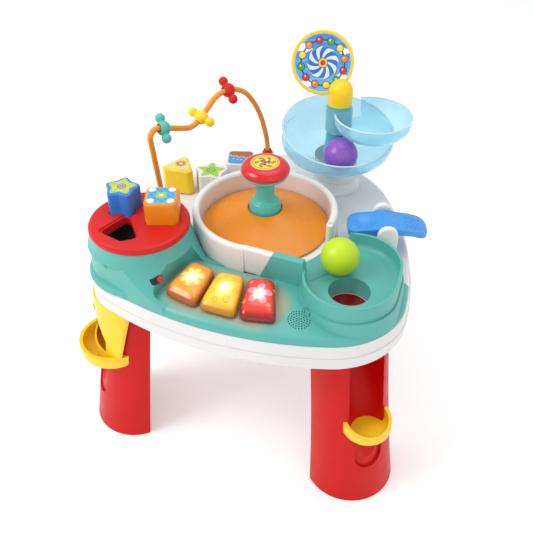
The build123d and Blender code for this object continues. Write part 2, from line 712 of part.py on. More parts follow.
def channel(key, g):
    """Ball and block channel down the outer face of a leg, grown by g."""
    facing = LEGS[key][1]
    base = leg_axis(key, 170.0)
    pl = side(*base, facing)
    with BuildPart() as s:
        with BuildLine(pl) as path:
            Polyline(*CH_AXIS)
        d0 = path.line % 0
        with BuildSketch(Plane(origin=path.line @ 0, z_dir=d0)):
            Circle(CH_R + g)
        sweep(path=path.line, transition=Transition.ROUND)
        with BuildSketch(pl):
            with BuildLine():
                Polyline(CH_AXIS[0], CH_AXIS[1], CH_AXIS[2], (160.0, CH_AXIS[2][1]), (160.0, CH_AXIS[0][1]), close=True)
            make_face()
        extrude(amount=CH_R + g, both=True)
        with Locations(pl.from_local_coords(Vector(*CH_AXIS[2], 0))):
            Sphere(CH_R + g)
        with BuildSketch(Plane(origin=pl.from_local_coords(Vector(*CH_AXIS[2], 0)), x_dir=pl.z_dir, z_dir=pl.x_dir)):
            Circle(CH_R + g)
        extrude(amount=60.0)
    return s.part


def recess(key, half, low, deep):
    """Shallow round-ended recess in the outer face of a leg, below the channel."""
    facing = LEGS[key][1]
    pl = Plane(origin=side(*leg_axis(key, 100.0), facing).origin, x_dir=side(0, 0, facing).z_dir * -1.0,
               z_dir=side(0, 0, facing).x_dir)
    with BuildPart() as s:
        with BuildSketch(pl):
            with BuildLine():
                Polyline((-half, low + half), (-half, 152.0), (half, 152.0), (half, low + half))
                CenterArc((0, low + half), half, 180.0, 180.0)
            make_face()
        extrude(amount=140.0)
    return minus(common(s.part, leg_blank(key, 0.0)), leg_blank(key, deep))


leg_full = {}
for key in LEGS:
    full = minus(leg_blank(key, 0.0), channel(key, 0.0), recess(key, 24.0, 70.0, 4.0))
    void = minus(leg_blank(key, LEG_T), channel(key, LEG_T), recess(key, 27.0, 67.0, 7.0))
    bores = []
    for n, k in enumerate(LEGS):
        if k == key:
            for bx, by in leg_boss[2 * n:2 * n + 2]:
                bores.append(cyl(bx, by, 1.7, 285.0, 300.0))
    leg = minus(full, void, *bores)
    leg_full[key] = full
    save(leg, "leg_" + key)
    print("leg", key, len(leg.solids()), round(leg.volume))

# ================================================================= ball cup on the right leg
rf = LEGS["right"][1]
rc = polar(*leg_axis("right", 160.0), 58.0, rf)
with BuildPart() as cup_out:
    with BuildSketch(top(145.0, *rc, rf)):
        Circle(38.5)
    extrude(amount=27.0)
    fillet(cup_out.faces().sort_by(Axis.Z)[0].edges(), radius=9.0)
    with BuildSketch(side(*rc, rf)):
        with BuildLine():
            Polyline((-40, 174), (-12, 174), (45, 161), (45, 200), (-40, 200), close=True)
        make_face()
    extrude(amount=50, both=True, mode=Mode.SUBTRACT)
with BuildPart() as cup_in:
    with BuildSketch(top(149.0, *rc, rf)):
        Circle(33.0)
    extrude(amount=40.0)
    fillet(cup_in.faces().sort_by(Axis.Z)[0].edges(), radius=7.0)
right_tray = minus(cup_out.part, cup_in.part, leg_full["right"])
right_tray = right_tray.solids().sort_by(SortBy.VOLUME)[-1]
save(right_tray, "right_tray")

# ================================================================= shape chute on the left leg
lf = LEGS["left"][1]
lc = polar(*leg_axis("left", 178.0), 43.0, lf)


def sleeve(r_top, r_bot, z_top, z_bot):
    with BuildPart() as s:
        for z, r in ((z_bot, r_bot), (z_top, r_top)):
            with BuildSketch(top(z, *leg_axis("left", z), lf)):
                Circle(r)
        loft(ruled=True)
    return s.part


front_plane = Plane(origin=side(*leg_axis("left", 178.0), lf).origin, x_dir=side(0, 0, lf).z_dir * -1.0,
                    z_dir=side(0, 0, lf).x_dir)
with BuildPart() as apron_shape:
    with BuildSketch(front_plane):
        with BuildLine():
            Polyline((-67, 289.6), (-57, 186), (-55, 168), (55, 168), (57, 186), (67, 289.6), close=True)
        make_face()
    extrude(amount=120.0)
with BuildPart() as window:
    with BuildSketch(front_plane) as wk:
        with BuildLine():
            Polyline((0, 276), (-14, 254), (-37, 214), (-37, 188), (37, 188), (37, 214), (14, 254), close=True)
        make_face()
        fillet(wk.vertices(), radius=8.0)
    extrude(amount=140.0)
apron = common(minus(sleeve(75.0, 74.5, 289.6, 168.0), sleeve(71.8, 71.3, 290.6, 167.0)), apron_shape.part)
apron = minus(apron, window.part)
with BuildPart() as tray_out:
    with BuildSketch(top(160.0, *lc, lf)):
        Circle(57.0)
    extrude(amount=28.0)
    fillet(tray_out.faces().sort_by(Axis.Z)[0].edges(), radius=12.0)
with BuildPart() as tray_in:
    with BuildSketch(top(164.0, *lc, lf)):
        Circle(51.0)
    extrude(amount=40.0)
    fillet(tray_in.faces().sort_by(Axis.Z)[0].edges(), radius=10.0)
bowl_l = minus(tray_out.part, tray_in.part)
left_chute = minus(fuse(apron, bowl_l), minus(leg_blank("left", 0.0), channel("left", 0.0)))
print("chute pieces", [round(q.volume) for q in left_chute.solids()])
left_chute = left_chute.solids().sort_by(SortBy.VOLUME)[-1]
save(left_chute, "left_chute")

# ================================================================= tower
pedestal_out = moved(turned([(0, 341.5), (45.5, 341.5), (42.0, 346.0), (39.8, 352.0), (39.0, 358.0), (36.4, 359.0),
                             (36.4, 361.6), (38.0, 362.6), (37.6, 380.0), (37.6, 398.0), (0, 398.0)]), *TOWER)
pedestal_in = moved(turned([(0, 341.0), (40.0, 341.0), (36.8, 352.0), (33.6, 358.0), (33.6, 363.0), (35.0, 364.0),
                            (35.0, 395.4), (0, 395.4)]), *TOWER)
with BuildPart() as tower_pedestal:
    add(pedestal_out)
    add(pedestal_in, mode=Mode.SUBTRACT)
pilot = cyl(*TOWER, 2.26, 390.0, 420.0)
save(minus(tower_pedestal.part, pilot), "tower_pedestal")

Z_LOW = 398.0
with BuildPart() as low_out:
    with BuildSketch(side(*TOWER)):
        with BuildLine():
            Polyline((0, 480), (0, Z_LOW), (72, Z_LOW))
            ThreePointArc((72, Z_LOW), (90.0, 410.5), (95.6, 440.0))
            Polyline((95.6, 440.0), (97.0, 480), (0, 480))
        make_face()
    revolve(axis=zaxis(*TOWER))
with BuildPart() as low_in:
    with BuildSketch(side(*TOWER)):
        with BuildLine():
            Polyline((0, 481), (0, Z_LOW + 2.4), (72, Z_LOW + 2.4))
            ThreePointArc((72, Z_LOW + 2.4), (88.0, 412.2), (93.2, 440.0))
            Polyline((93.2, 440.0), (94.6, 481), (0, 481))
        make_face()
    revolve(axis=zaxis(*TOWER))
ta = math.radians(120.0)
k = 18.0 / 95.0
rim_plane = tilted(*TOWER, 448.0, -k * math.cos(ta), -k * math.sin(ta), 1.0)
with BuildPart() as rim_cut:
    with BuildSketch(rim_plane):
        Rectangle(260, 260)
    extrude(amount=80.0)
bolt_hole = cyl(*TOWER, 2.26, 390.0, 405.0)
save(minus(low_out.part, low_in.part, rim_cut.part, bolt_hole), "lower_bowl")

Z_COL = 496.0
column = moved(turned([(0, Z_LOW + 2.4), (24.5, Z_LOW + 2.4), (24.0, 406.0), (22.0, 416.0), (R_COLUMN, 434.0),
                       (R_COLUMN, Z_COL), (0, Z_COL)]), *TOWER)
column_in = moved(turned([(0, 404.0), (19.0, 404.0), (R_COLUMN - 2.4, 434.0), (R_COLUMN - 2.4, Z_COL + 1), (0, Z_COL + 1)]),
                  *TOWER)
save(minus(column, column_in, bolt_hole), "tower_column")
bolt = fuse(cyl(*TOWER, 4.4, 404.0, 407.2), cyl(*TOWER, 2.2, 386.0, 404.0))
save(bolt, "tower_screw")

# upper dish with a collar round the column and an outlet notch behind it
Z_UP = 453.5
with BuildPart() as up_out:
    with BuildSketch(side(*UPPER)):
        with BuildLine():
            Polyline((0, 488), (0, Z_UP), (42, Z_UP))
            ThreePointArc((42, Z_UP), (57.5, 463.0), (64.5, 482.0))
            Polyline((64.5, 482.0), (65.0, 488), (0, 488))
        make_face()
    revolve(axis=zaxis(*UPPER))
with BuildPart() as up_in:
    with BuildSketch(side(*UPPER)):
        with BuildLine():
            Polyline((0, 489), (0, Z_UP + 2.4), (42, Z_UP + 2.4))
            ThreePointArc((42, Z_UP + 2.4), (55.5, 464.6), (62.1, 482.0))
            Polyline((62.1, 482.0), (62.7, 489), (0, 489))
        make_face()
    revolve(axis=zaxis(*UPPER))
collar_ring = tube(*TOWER, R_COLUMN + 2.6, R_COLUMN, 448.0, 490.0)
collar_core = cyl(*TOWER, R_COLUMN, 430.0, 500.0)
notch = prism([UPPER, polar(*UPPER, 90, 118), polar(*UPPER, 90, 140), polar(*UPPER, 90, 158)], Z_UP + 5.0, 500.0)
upper_bowl = minus(fuse(minus(up_out.part, up_in.part), collar_ring), collar_core, notch)
print("upper", [round(q.volume) for q in upper_bowl.solids()])
upper_bowl = upper_bowl.solids().sort_by(SortBy.VOLUME)[-1]
save(upper_bowl, "upper_bowl")

# cap, sign
def domed(r, z_top):
    gx, gy = gxy(*TOWER)
    with BuildPart() as s:
        with BuildSketch(top(Z_COL, *TOWER)):
            Circle(r)
        extrude(amount=z_top - r - Z_COL)
        with Locations((gx, gy, z_top - r)):
            Sphere(r)
    return s.part


cap_out = domed(20.6, 538.5)
cap_void = domed(18.2, 536.0)
cap_mouth = cyl(*TOWER, 18.2, Z_COL - 1.0, Z_COL + 6.0)
with BuildPart() as dome_cap:
    add(cap_out)
    add(cap_void, mode=Mode.SUBTRACT)
    add(cap_mouth, mode=Mode.SUBTRACT)
save(dome_cap.part, "dome_cap")
print("dome", round(dome_cap.part.volume), dome_cap.part.is_valid)

SIGN = (45.0, 194.0, 560.0)
R_SIGN = 51.0
sign_plane = tilted(*SIGN, 0.216, -0.912, 0.342, rot=13.3)
with BuildPart() as sign_frame:
    with BuildSketch(sign_plane.offset(-4.0)):
        Circle(R_SIGN)
    extrude(amount=8.0)
    fillet(sign_frame.edges().filter_by(GeomType.CIRCLE), radius=2.2)
    with BuildSketch(sign_plane.offset(2.8)):
        Circle(46.5)
    extrude(amount=3.0, mode=Mode.SUBTRACT)
with BuildPart() as neck:
    with BuildSketch(sign_plane.offset(-3.4)):
        with Locations(Location((30.6, -46.6, 0), (0, 0, -56.6))):
            Rectangle(30.0, 17.0)
    extrude(amount=6.8)
cap_room = domed(20.66, 538.56)
sign = minus(fuse(neck.part, sign_frame.part), cap_room)
print("sign", [round(q.volume) for q in sign.solids()])
with BuildPart() as recess:
    with BuildSketch(sign_plane.offset(2.8)):
        Circle(46.5)
    extrude(amount=3.0)
sign = minus(sign, recess.part)
sign = sign.solids().sort_by(SortBy.VOLUME)[-1]
save(sign, "sign_frame")
with BuildPart() as sign_panel:
    with BuildSketch(sign_plane.offset(2.8)):
        Circle(46.4)
    extrude(amount=0.6)
save(minus(sign_panel.part, cap_room), "sign_panel")

# ================================================================= spinner
spin_plate = turned([(R_PLATE, 363.2), (R_PLATE, 366.0), (31.0, 395.9), (28.6, 397.0), (27.2, 396.4), (27.2, 393.2),
                     (9.3, 393.2), (9.3, 390.4), (29.4, 390.4), (94.4, 363.2)])
save(spin_plate, "spin_plate")
spinner_post = turned([(5.06, 363.4), (9.2, 363.4), (9.2, 393.3), (25.0, 393.3), (25.0, 401.5), (23.4, 407.0),
                       (22.4, 410.0), (21.0, 411.6), (18.6, 412.6), (16.8, 415.0), (15.4, 420.0), (14.8, 427.0),
                       (14.8, 437.0), (15.8, 443.0), (18.6, 448.0), (24.0, 452.4), (31.0, 455.6), (35.4, 458.4),
                       (36.6, 460.6), (36.2, 462.2), (35.0, 462.8), (35.0, 463.8), (0, 463.8), (0, 398.8), (5.06, 398.8)])
save(spinner_post, "spinner_post")
with BuildPart() as spinner_cap:
    with BuildSketch(side(0, 0)):
        with BuildLine():
            Polyline((0, 475.2), (0, 478.2), (22.5, 478.2))
            ThreePointArc((22.5, 478.2), (33.2, 475.0), (38.0, 467.4))
            Polyline((38.0, 467.4), (37.8, 464.8), (36.6, 463.2), (35.2, 463.2), (35.2, 463.9), (32.4, 463.9),
                     (33.4, 467.6), (30.6, 472.2), (22.0, 475.2), (0, 475.2))
        make_face()
    revolve(axis=zaxis(0, 0))
save(spinner_cap.part, "spinner_cap")
save(cyl(0, 0, 22.0, 478.2, 478.7), "spinner_sticker")
axle = fuse(cyl(0, 0, 9.0, 340.0, 344.0), cyl(0, 0, 5.0, 344.0, 398.4))
save(axle, "spinner_axle")

# ================================================================= keys and electronics
key_mid = []
for q in key_quads:
    key_mid.append((sum(p[0] for p in q) / 4, sum(p[1] for p in q) / 4))
for name, q, mid in zip(("orange", "yellow", "red"), key_quads, key_mid):
    body = common(prism(q, 340.0, 390.0, r=13.0), slope_slab(354.2, 366.6))
    with BuildPart() as pillow:
        add(body)
        upper = [f for f in pillow.faces() if f.normal_at().Z > 0.9][0]
        fillet(upper.edges(), radius=8.0)
    void = common(prism(q, 330.0, 390.0, grow=-3.0, r=9.5), slope_slab(340.0, 359.6))
    neck_q = prism(q, 335.3, 356.0, grow=-9.4, r=3.6)
    neck_v = prism(q, 330.0, 380.0, grow=-11.6, r=1.6)
    web = common(prism(q, 340.0, 380.0, grow=-1.5, r=10.0), slope_slab(354.2, 356.4))
    stem = cyl(mid[0], mid[1] + 10.0, 4.0, 336.6, 362.6)
    key = fuse(minus(pillow.part, void), minus(fuse(neck_q, web), neck_v), stem)
    print("key", name, [round(v.volume) for v in key.solids()])
    save(key, "key_" + name)
with BuildPart() as circuit_board:
    with BuildSketch(top(Z_BAND)):
        with BuildLine():
            Polyline((-84, -126), (-104, -186), (-48, -200), (14, -206), (64, -200), (48, -136), close=True)
        make_face()
    extrude(amount=1.6)
save(circuit_board.part, "circuit_board")
with BuildPart() as key_pads:
    with BuildSketch(top(331.6)):
        with Locations(*[(x, y + 10.0) for x, y in key_mid]):
            Circle(6.0)
    extrude(amount=1.6)
save(key_pads.part, "key_pads")
with BuildPart() as leds:
    with BuildSketch(top(331.6)):
        with Locations(*[(x, y - 8.0) for x, y in key_mid]):
            Circle(2.5)
    extrude(amount=5.0)
save(leds.part, "leds")
speaker = moved(turned([(0, Z_BAND), (9.0, Z_BAND), (9.0, 334.0), (15.0, 338.5), (15.0, 341.0), (0, 341.0)]), *SPEAKER)
save(speaker, "speaker")
with BuildPart() as switch_bezel:
    with BuildSketch(sw_plane.offset(-6.0)):
        SlotOverall(18.8, 8.4)
    extrude(amount=3.4)
save(switch_bezel.part, "switch_bezel")
with BuildPart() as switch_slider:
    with BuildSketch(sw_plane.offset(-2.3)):
        with Locations((4.6, 0.0)):
            SlotOverall(9.0, 7.4)
    extrude(amount=4.4)
    fillet(switch_slider.faces().sort_by(Axis(sw_plane.origin, sw_plane.z_dir))[-1].edges(), radius=1.6)
save(switch_slider.part, "switch_slider")

# ================================================================= batteries, screws
bx, by = BATT
with BuildPart() as battery_box:
    with BuildSketch(top(294.0, bx, by)):
        RectangleRounded(91.4, 61.4, 3.7)
    extrude(amount=26.0)
    with BuildSketch(top(293.0, bx, by)):
        RectangleRounded(87.4, 57.4, 2.0)
    extrude(amount=25.0, mode=Mode.SUBTRACT)
save(battery_box.part, "battery_box")
with BuildPart() as batteries:
    for dy in (-18.0, 0.0, 18.0):
        gx, gy = gxy(bx - 25.2, by + dy)
        a = math.radians(ROT)
        with BuildSketch(Plane(origin=(gx, gy, 306.0), x_dir=(0, 0, 1), z_dir=(math.cos(a), math.sin(a), 0))):
            Circle(7.1)
        extrude(amount=50.4)
save(batteries.part, "batteries")
with BuildPart() as battery_contacts:
    for dx in (-36.0, 35.5):
        with BuildSketch(top(297.0, bx + dx, by)):
            Rectangle(0.5, 52.0)
        extrude(amount=18.0)
save(battery_contacts.part, "battery_contacts")
with BuildPart() as battery_door:
    with BuildSketch(top(291.0, bx, by)):
        RectangleRounded(91.0, 61.0, 3.5)
    extrude(amount=3.0)
    with BuildSketch(top(280.0, bx + 38.0, by)):
        Circle(1.6)
    extrude(amount=30.0, mode=Mode.SUBTRACT)
save(battery_door.part, "battery_door")
save(fuse(cyl(bx + 38.0, by, 3.2, 289.4, 291.0), cyl(bx + 38.0, by, 1.6, 291.0, 300.0)), "battery_door_screw")
with BuildPart() as casing_screws:
    with BuildSketch(top(294.4)):
        with Locations(*case_boss):
            Circle(3.6)
    extrude(amount=3.0)
    with BuildSketch(top(297.4)):
        with Locations(*case_boss):
            Circle(1.2)
    extrude(amount=24.0)
save(casing_screws.part, "casing_screws")
with BuildPart() as leg_screws:
    with BuildSketch(top(290.0)):
        with Locations(*leg_boss):
            Circle(3.6)
    extrude(amount=3.0)
    with BuildSketch(top(293.0)):
        with Locations(*leg_boss):
            Circle(1.7)
    extrude(amount=14.0)
save(leg_screws.part, "leg_screws")

# ================================================================= see-saw lever
with BuildPart() as lever_blank:
    with BuildSketch(side(*PIVOT, LEVER_DIR)):
        with BuildLine():
            Polyline((-59, 379), (-40, 382.6), (-9, 385.4), (9, 385.4), (40, 380.4), (66, 372.4),
                     (66, 364.4), (40, 371.4), (9, 374.0), (-9, 374.0), (-40, 371.4), (-59, 368.4), close=True)
        make_face()
        with Locations((0, Z_PIVOT)):
            Circle(9.6)
    extrude(amount=25.0, both=True)
lever_plan = box_prism(*polar(*PIVOT, 3.5, LEVER_DIR), LEVER_DIR, 125.0, 50.0, 350.0, 400.0, 16.0)
scoop_at = polar(*PIVOT, -35.0, LEVER_DIR)
gx, gy = gxy(*scoop_at)
with BuildPart() as lever_mix:
    add(lever_blank.part)
    add(lever_plan, mode=Mode.INTERSECT)
    with Locations((gx, gy, 411.5)):
        Sphere(34.0, mode=Mode.SUBTRACT)
    with BuildSketch(side(*PIVOT, LEVER_DIR)):
        with Locations((0.0, Z_PIVOT)):
            Circle(PIN_R + 0.06)
    extrude(amount=60, both=True, mode=Mode.SUBTRACT)
save(lever_mix.part, "lever")
with BuildPart() as lever_pin:
    with BuildSketch(side(*PIVOT, LEVER_DIR)):
        with Locations((0.0, Z_PIVOT)):
            Circle(PIN_R)
    extrude(amount=37.5, both=True)
save(lever_pin.part, "lever_pin")

# ================================================================= bead wire
wire_pl = side(*WIRE_A, WIRE_DIR)
# corners of the bent wire (along its plan direction, height) and their bend radii
WIRE = [(0.0, 334.6, 0.0), (-0.6, 362.0, 200.0), (-3.0, 386.0, 300.0), (-16.5, 511.2, 13.0), (76.0, 474.5, 36.0), (134.0, 516.5, 45.0),
        (190.0, 508.1, 80.0), (234.0, 446.5, 200.0), (253.8, 376.0, 150.0), (253.8, 338.2, 0.0)]
with BuildPart() as bead_wire:
    with BuildLine(wire_pl) as wire_path:
        last = WIRE[0][:2]
        for n in range(1, len(WIRE) - 1):
            (ax, az), (vx, vz, vr), (cx, cz) = WIRE[n - 1][:2], WIRE[n], WIRE[n + 1][:2]
            la, lc_ = math.hypot(ax - vx, az - vz), math.hypot(cx - vx, cz - vz)
            ua, uc = ((ax - vx) / la, (az - vz) / la), ((cx - vx) / lc_, (cz - vz) / lc_)
            half = (math.pi - math.acos(ua[0] * uc[0] + ua[1] * uc[1])) / 2
            reach = vr * math.tan(half)
            bis = (ua[0] + uc[0], ua[1] + uc[1])
            bl = math.hypot(*bis)
            sag = vr / math.cos(half) - vr
            t1 = (vx + ua[0] * reach, vz + ua[1] * reach)
            t2 = (vx + uc[0] * reach, vz + uc[1] * reach)
            Line(last, t1)
            ThreePointArc(t1, (vx + bis[0] / bl * sag, vz + bis[1] / bl * sag), t2)
            last = t2
        Line(last, WIRE[-1][:2])
    with BuildSketch(Plane(origin=wire_path.line @ 0, z_dir=wire_path.line % 0)):
        Circle(WIRE_R)
    sweep(path=wire_path.wires()[0])
save(bead_wire.part, "bead_wire")
print("wire volume", round(bead_wire.part.volume))
wire_collars = fuse(tube(*WIRE_A, 8.0, 5.4, 343.0, 346.0), tube(*WIRE_B, 9.5, 5.5, 351.5, 354.5),
                    tube(*WIRE_B, 7.6, 5.8, 354.5, 359.0))
save(wire_collars, "wire_collars")
# beads: a middle ball and two end balls across the wire
BEADS = {"teal": ((13.4, 499.34), WIRE[3], WIRE[4], 42.9), "yellow": ((94.0, 487.53), WIRE[4], WIRE[5], 70.0),
         "red": ((157.0, 513.05), WIRE[5], WIRE[6], 48.7)}
for name, (mid, pa, pb, psi) in BEADS.items():
    tx, tz = pb[0] - pa[0], pb[1] - pa[1]
    tl = math.hypot(tx, tz)
    t3 = (wire_pl.x_dir * (tx / tl) + wire_pl.y_dir * (tz / tl)).normalized()
    n3 = t3.cross(wire_pl.z_dir).normalized()
    w3 = n3 * math.cos(math.radians(psi)) + wire_pl.z_dir * math.sin(math.radians(psi))
    o3 = wire_pl.from_local_coords(Vector(mid[0], mid[1], 0))
    across = Plane(origin=o3, x_dir=t3, z_dir=w3)
    with BuildPart() as bead:
        with BuildSketch(Plane(origin=o3, x_dir=t3, z_dir=t3.cross(w3))):
            with BuildLine():
                Polyline((0, -24.91), (1.2, -24.91))
                ThreePointArc((1.2, -24.91), (8.0, -17.0), (6.0, -11.71))
                Line((6.0, -11.71), (6.0, -10.39))
                ThreePointArc((6.0, -10.39), (12.0, 0.0), (6.0, 10.39))
                Line((6.0, 10.39), (6.0, 11.71))
                ThreePointArc((6.0, 11.71), (8.0, 17.0), (1.2, 24.91))
                Polyline((1.2, 24.91), (0, 24.91), (0, -24.91))
            make_face()
        revolve(axis=Axis(origin=o3, direction=w3))
        with BuildSketch(Plane(origin=o3 - t3 * 20.0, z_dir=t3)):
            Circle(6.3)
        extrude(amount=40.0, mode=Mode.SUBTRACT)
    save(bead.part, "bead_" + name)
    print("bead", name, tuple(round(v, 2) for v in o3), tuple(round(v, 4) for v in t3))

# ================================================================= balls
GREEN = (136.6, -85.4, Z_FLOOR - 0.4 + 0.3 + BALL_R)
PURPLE = (93.9, 134.9, 400.4 + 0.3 + BALL_R)
for name, (x, y, z) in {"green": GREEN, "purple": PURPLE}.items():
    gx, gy = gxy(x, y)
    with BuildPart() as ball:
        with Locations((gx, gy, z)):
            Sphere(BALL_R)
    save(ball.part, "ball_" + name)
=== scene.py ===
import math

import bpy
import bmesh
import numpy as np
from mathutils import Matrix, Vector
from mathutils.bvhtree import BVHTree


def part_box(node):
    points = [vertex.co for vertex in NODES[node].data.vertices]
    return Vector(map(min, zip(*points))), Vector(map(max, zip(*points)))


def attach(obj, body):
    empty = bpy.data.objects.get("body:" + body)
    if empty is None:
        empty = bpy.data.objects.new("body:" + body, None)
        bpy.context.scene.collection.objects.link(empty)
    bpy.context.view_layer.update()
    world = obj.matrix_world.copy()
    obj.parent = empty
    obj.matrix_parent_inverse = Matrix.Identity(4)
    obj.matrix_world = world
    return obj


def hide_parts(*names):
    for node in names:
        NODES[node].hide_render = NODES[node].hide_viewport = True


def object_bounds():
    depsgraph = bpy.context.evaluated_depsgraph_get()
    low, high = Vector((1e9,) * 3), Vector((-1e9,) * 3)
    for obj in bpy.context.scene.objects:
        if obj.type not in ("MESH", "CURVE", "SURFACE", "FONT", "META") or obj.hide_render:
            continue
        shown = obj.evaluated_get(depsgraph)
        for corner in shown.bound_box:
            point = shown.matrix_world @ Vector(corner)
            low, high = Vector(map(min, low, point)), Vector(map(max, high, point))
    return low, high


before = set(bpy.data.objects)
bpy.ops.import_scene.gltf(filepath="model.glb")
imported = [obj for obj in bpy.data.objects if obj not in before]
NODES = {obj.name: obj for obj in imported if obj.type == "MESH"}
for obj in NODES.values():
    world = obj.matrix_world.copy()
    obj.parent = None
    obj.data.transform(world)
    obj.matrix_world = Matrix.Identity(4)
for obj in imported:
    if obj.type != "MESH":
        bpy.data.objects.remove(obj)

CAD_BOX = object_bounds()
MM = 0.001

# The table was laid out round the basin's axis; this puts a layout point into the row frame.
TURN = math.radians(3.5)
SHIFT = (1.8, -44.0)


def at(x, y, z):
    c, s = math.cos(TURN), math.sin(TURN)
    return Vector((SHIFT[0] + x * c - y * s, SHIFT[1] + x * s + y * c, z)) * MM


def turned(x, y, z=0.0):
    c, s = math.cos(TURN), math.sin(TURN)
    return Vector((x * c - y * s, x * s + y * c, z))


def srgb(r, g, b, gain=1.0):
    out = []
    for v in (r, g, b):
        v = v / 255.0
        out.append((v / 12.92 if v <= 0.04045 else ((v + 0.055) / 1.055) ** 2.4) * gain)
    return np.array(out)


# ------------------------------------------------------------------ materials
class Graph:
    """A small node graph builder."""

    def __init__(self, name):
        self.mat = bpy.data.materials.new(name)
        self.mat.use_nodes = True
        self.nt = self.mat.node_tree
        self.nt.nodes.clear()
        self.out = self.nt.nodes.new("ShaderNodeOutputMaterial")
        self.bsdf = self.nt.nodes.new("ShaderNodeBsdfPrincipled")
        self.nt.links.new(self.bsdf.outputs[0], self.out.inputs[0])
        self.coord = self.nt.nodes.new("ShaderNodeTexCoord").outputs["Object"]

    def put(self, socket, value):
        if isinstance(value, bpy.types.NodeSocket):
            self.nt.links.new(value, socket)
        elif hasattr(value, "__len__") and len(value) == 3 and len(socket.default_value) == 4:
            socket.default_value = (*[float(v) for v in value], 1.0)
        else:
            socket.default_value = value

    def noise(self, scale, detail=2.0, rough=0.5, stretch=None, spin=(0, 0, 0)):
        n = self.nt.nodes.new("ShaderNodeTexNoise")
        source = self.coord
        if stretch:
            m = self.nt.nodes.new("ShaderNodeMapping")
            m.inputs["Scale"].default_value = stretch
            m.inputs["Rotation"].default_value = spin
            self.nt.links.new(source, m.inputs["Vector"])
            source = m.outputs[0]
        self.nt.links.new(source, n.inputs["Vector"])
        n.inputs["Scale"].default_value = scale
        n.inputs["Detail"].default_value = detail
        n.inputs["Roughness"].default_value = rough
        return n.outputs[0]

    def ramp(self, value, lo, hi, to_lo=0.0, to_hi=1.0):
        n = self.nt.nodes.new("ShaderNodeMapRange")
        n.interpolation_type = "SMOOTHSTEP"
        self.put(n.inputs[0], value)
        n.inputs[1].default_value, n.inputs[2].default_value = lo, hi
        n.inputs[3].default_value, n.inputs[4].default_value = to_lo, to_hi
        return n.outputs[0]

    def math(self, op, a, b=0.0, c=0.0, clamp=False):
        n = self.nt.nodes.new("ShaderNodeMath")
        n.operation = op
        n.use_clamp = clamp
        self.put(n.inputs[0], a)
        self.put(n.inputs[1], b)
        if op == "MULTIPLY_ADD":
            self.put(n.inputs[2], c)
        return n.outputs[0]

    def mix(self, fac, a, b, kind="MIX"):
        n = self.nt.nodes.new("ShaderNodeMix")
        n.data_type = "RGBA"
        n.blend_type = kind
        self.put(n.inputs[0], fac)
        self.put(n.inputs[6], a)
        self.put(n.inputs[7], b)
        return n.outputs[2]

    def edge(self, radius, lo=0.99, hi=0.80):
        """1 on tight edges, 0 on open surface, together with the eased normal."""
        bev = self.nt.nodes.new("ShaderNodeBevel")
        bev.samples = 4
        bev.inputs["Radius"].default_value = radius
        geo = self.nt.nodes.new("ShaderNodeNewGeometry")
        dot = self.nt.nodes.new("ShaderNodeVectorMath")
        dot.operation = "DOT_PRODUCT"
        self.nt.links.new(bev.outputs[0], dot.inputs[0])
        self.nt.links.new(geo.outputs["Normal"], dot.inputs[1])
        return self.ramp(dot.outputs["Value"], lo, hi), bev.outputs[0]

    def bump(self, height, strength, distance, normal=None):
        n = self.nt.nodes.new("ShaderNodeBump")
        n.inputs["Strength"].default_value = strength
        n.inputs["Distance"].default_value = distance
        self.put(n.inputs["Height"], height)
        if normal is not None:
            self.nt.links.new(normal, n.inputs["Normal"])
        return n.outputs[0]

    def attribute(self, name):
        n = self.nt.nodes.new("ShaderNodeAttribute")
        n.attribute_name = name
        return n.outputs["Color"]

    def set(self, **values):
        for key, value in values.items():
            self.put(self.bsdf.inputs[key.replace("_", " ")], value)


def well(cx, cy, radius, low, high):
    """A mask for the inside of an upright well in the layout plan, in millimetres."""
    spot = at(cx, cy, 0)

    def build(g):
        sep = g.nt.nodes.new("ShaderNodeSeparateXYZ")
        g.nt.links.new(g.coord, sep.inputs[0])
        dx = g.math("SUBTRACT", sep.outputs[0], spot.x)
        dy = g.math("SUBTRACT", sep.outputs[1], spot.y)
        d = g.math("SQRT", g.math("ADD", g.math("MULTIPLY", dx, dx), g.math("MULTIPLY", dy, dy)))
        inside = g.ramp(d, (radius - 0.5) * MM, (radius + 0.1) * MM, 1.0, 0.0)
        up = g.ramp(sep.outputs[2], low * MM, (low + 1.0) * MM)
        down = g.ramp(sep.outputs[2], (high - 4.0) * MM, high * MM, 1.0, 0.0)
        return g.math("MULTIPLY", inside, g.math("MULTIPLY", up, down))
    return build


def near_line(ax, ay, bx, by, radius, soft, share, top):
    """A mask that fades out round a line in the layout plan, in millimetres."""
    a, b = at(ax, ay, 0), at(bx, by, 0)
    run = b - a
    length2 = run.x * run.x + run.y * run.y

    def build(g):
        sep = g.nt.nodes.new("ShaderNodeSeparateXYZ")
        g.nt.links.new(g.coord, sep.inputs[0])
        px = g.math("SUBTRACT", sep.outputs[0], a.x)
        py = g.math("SUBTRACT", sep.outputs[1], a.y)
        t = g.math("ADD", g.math("MULTIPLY", px, run.x / length2), g.math("MULTIPLY", py, run.y / length2), clamp=True)
        dx = g.math("SUBTRACT", px, g.math("MULTIPLY", t, run.x))
        dy = g.math("SUBTRACT", py, g.math("MULTIPLY", t, run.y))
        d = g.math("SQRT", g.math("ADD", g.math("MULTIPLY", dx, dx), g.math("MULTIPLY", dy, dy)))
        low = g.ramp(sep.outputs[2], top * MM, (top + 6.0) * MM, 1.0, 0.0)
        return g.math("MULTIPLY", g.ramp(d, radius * MM, (radius + soft) * MM, share, 0.0), low)
    return build


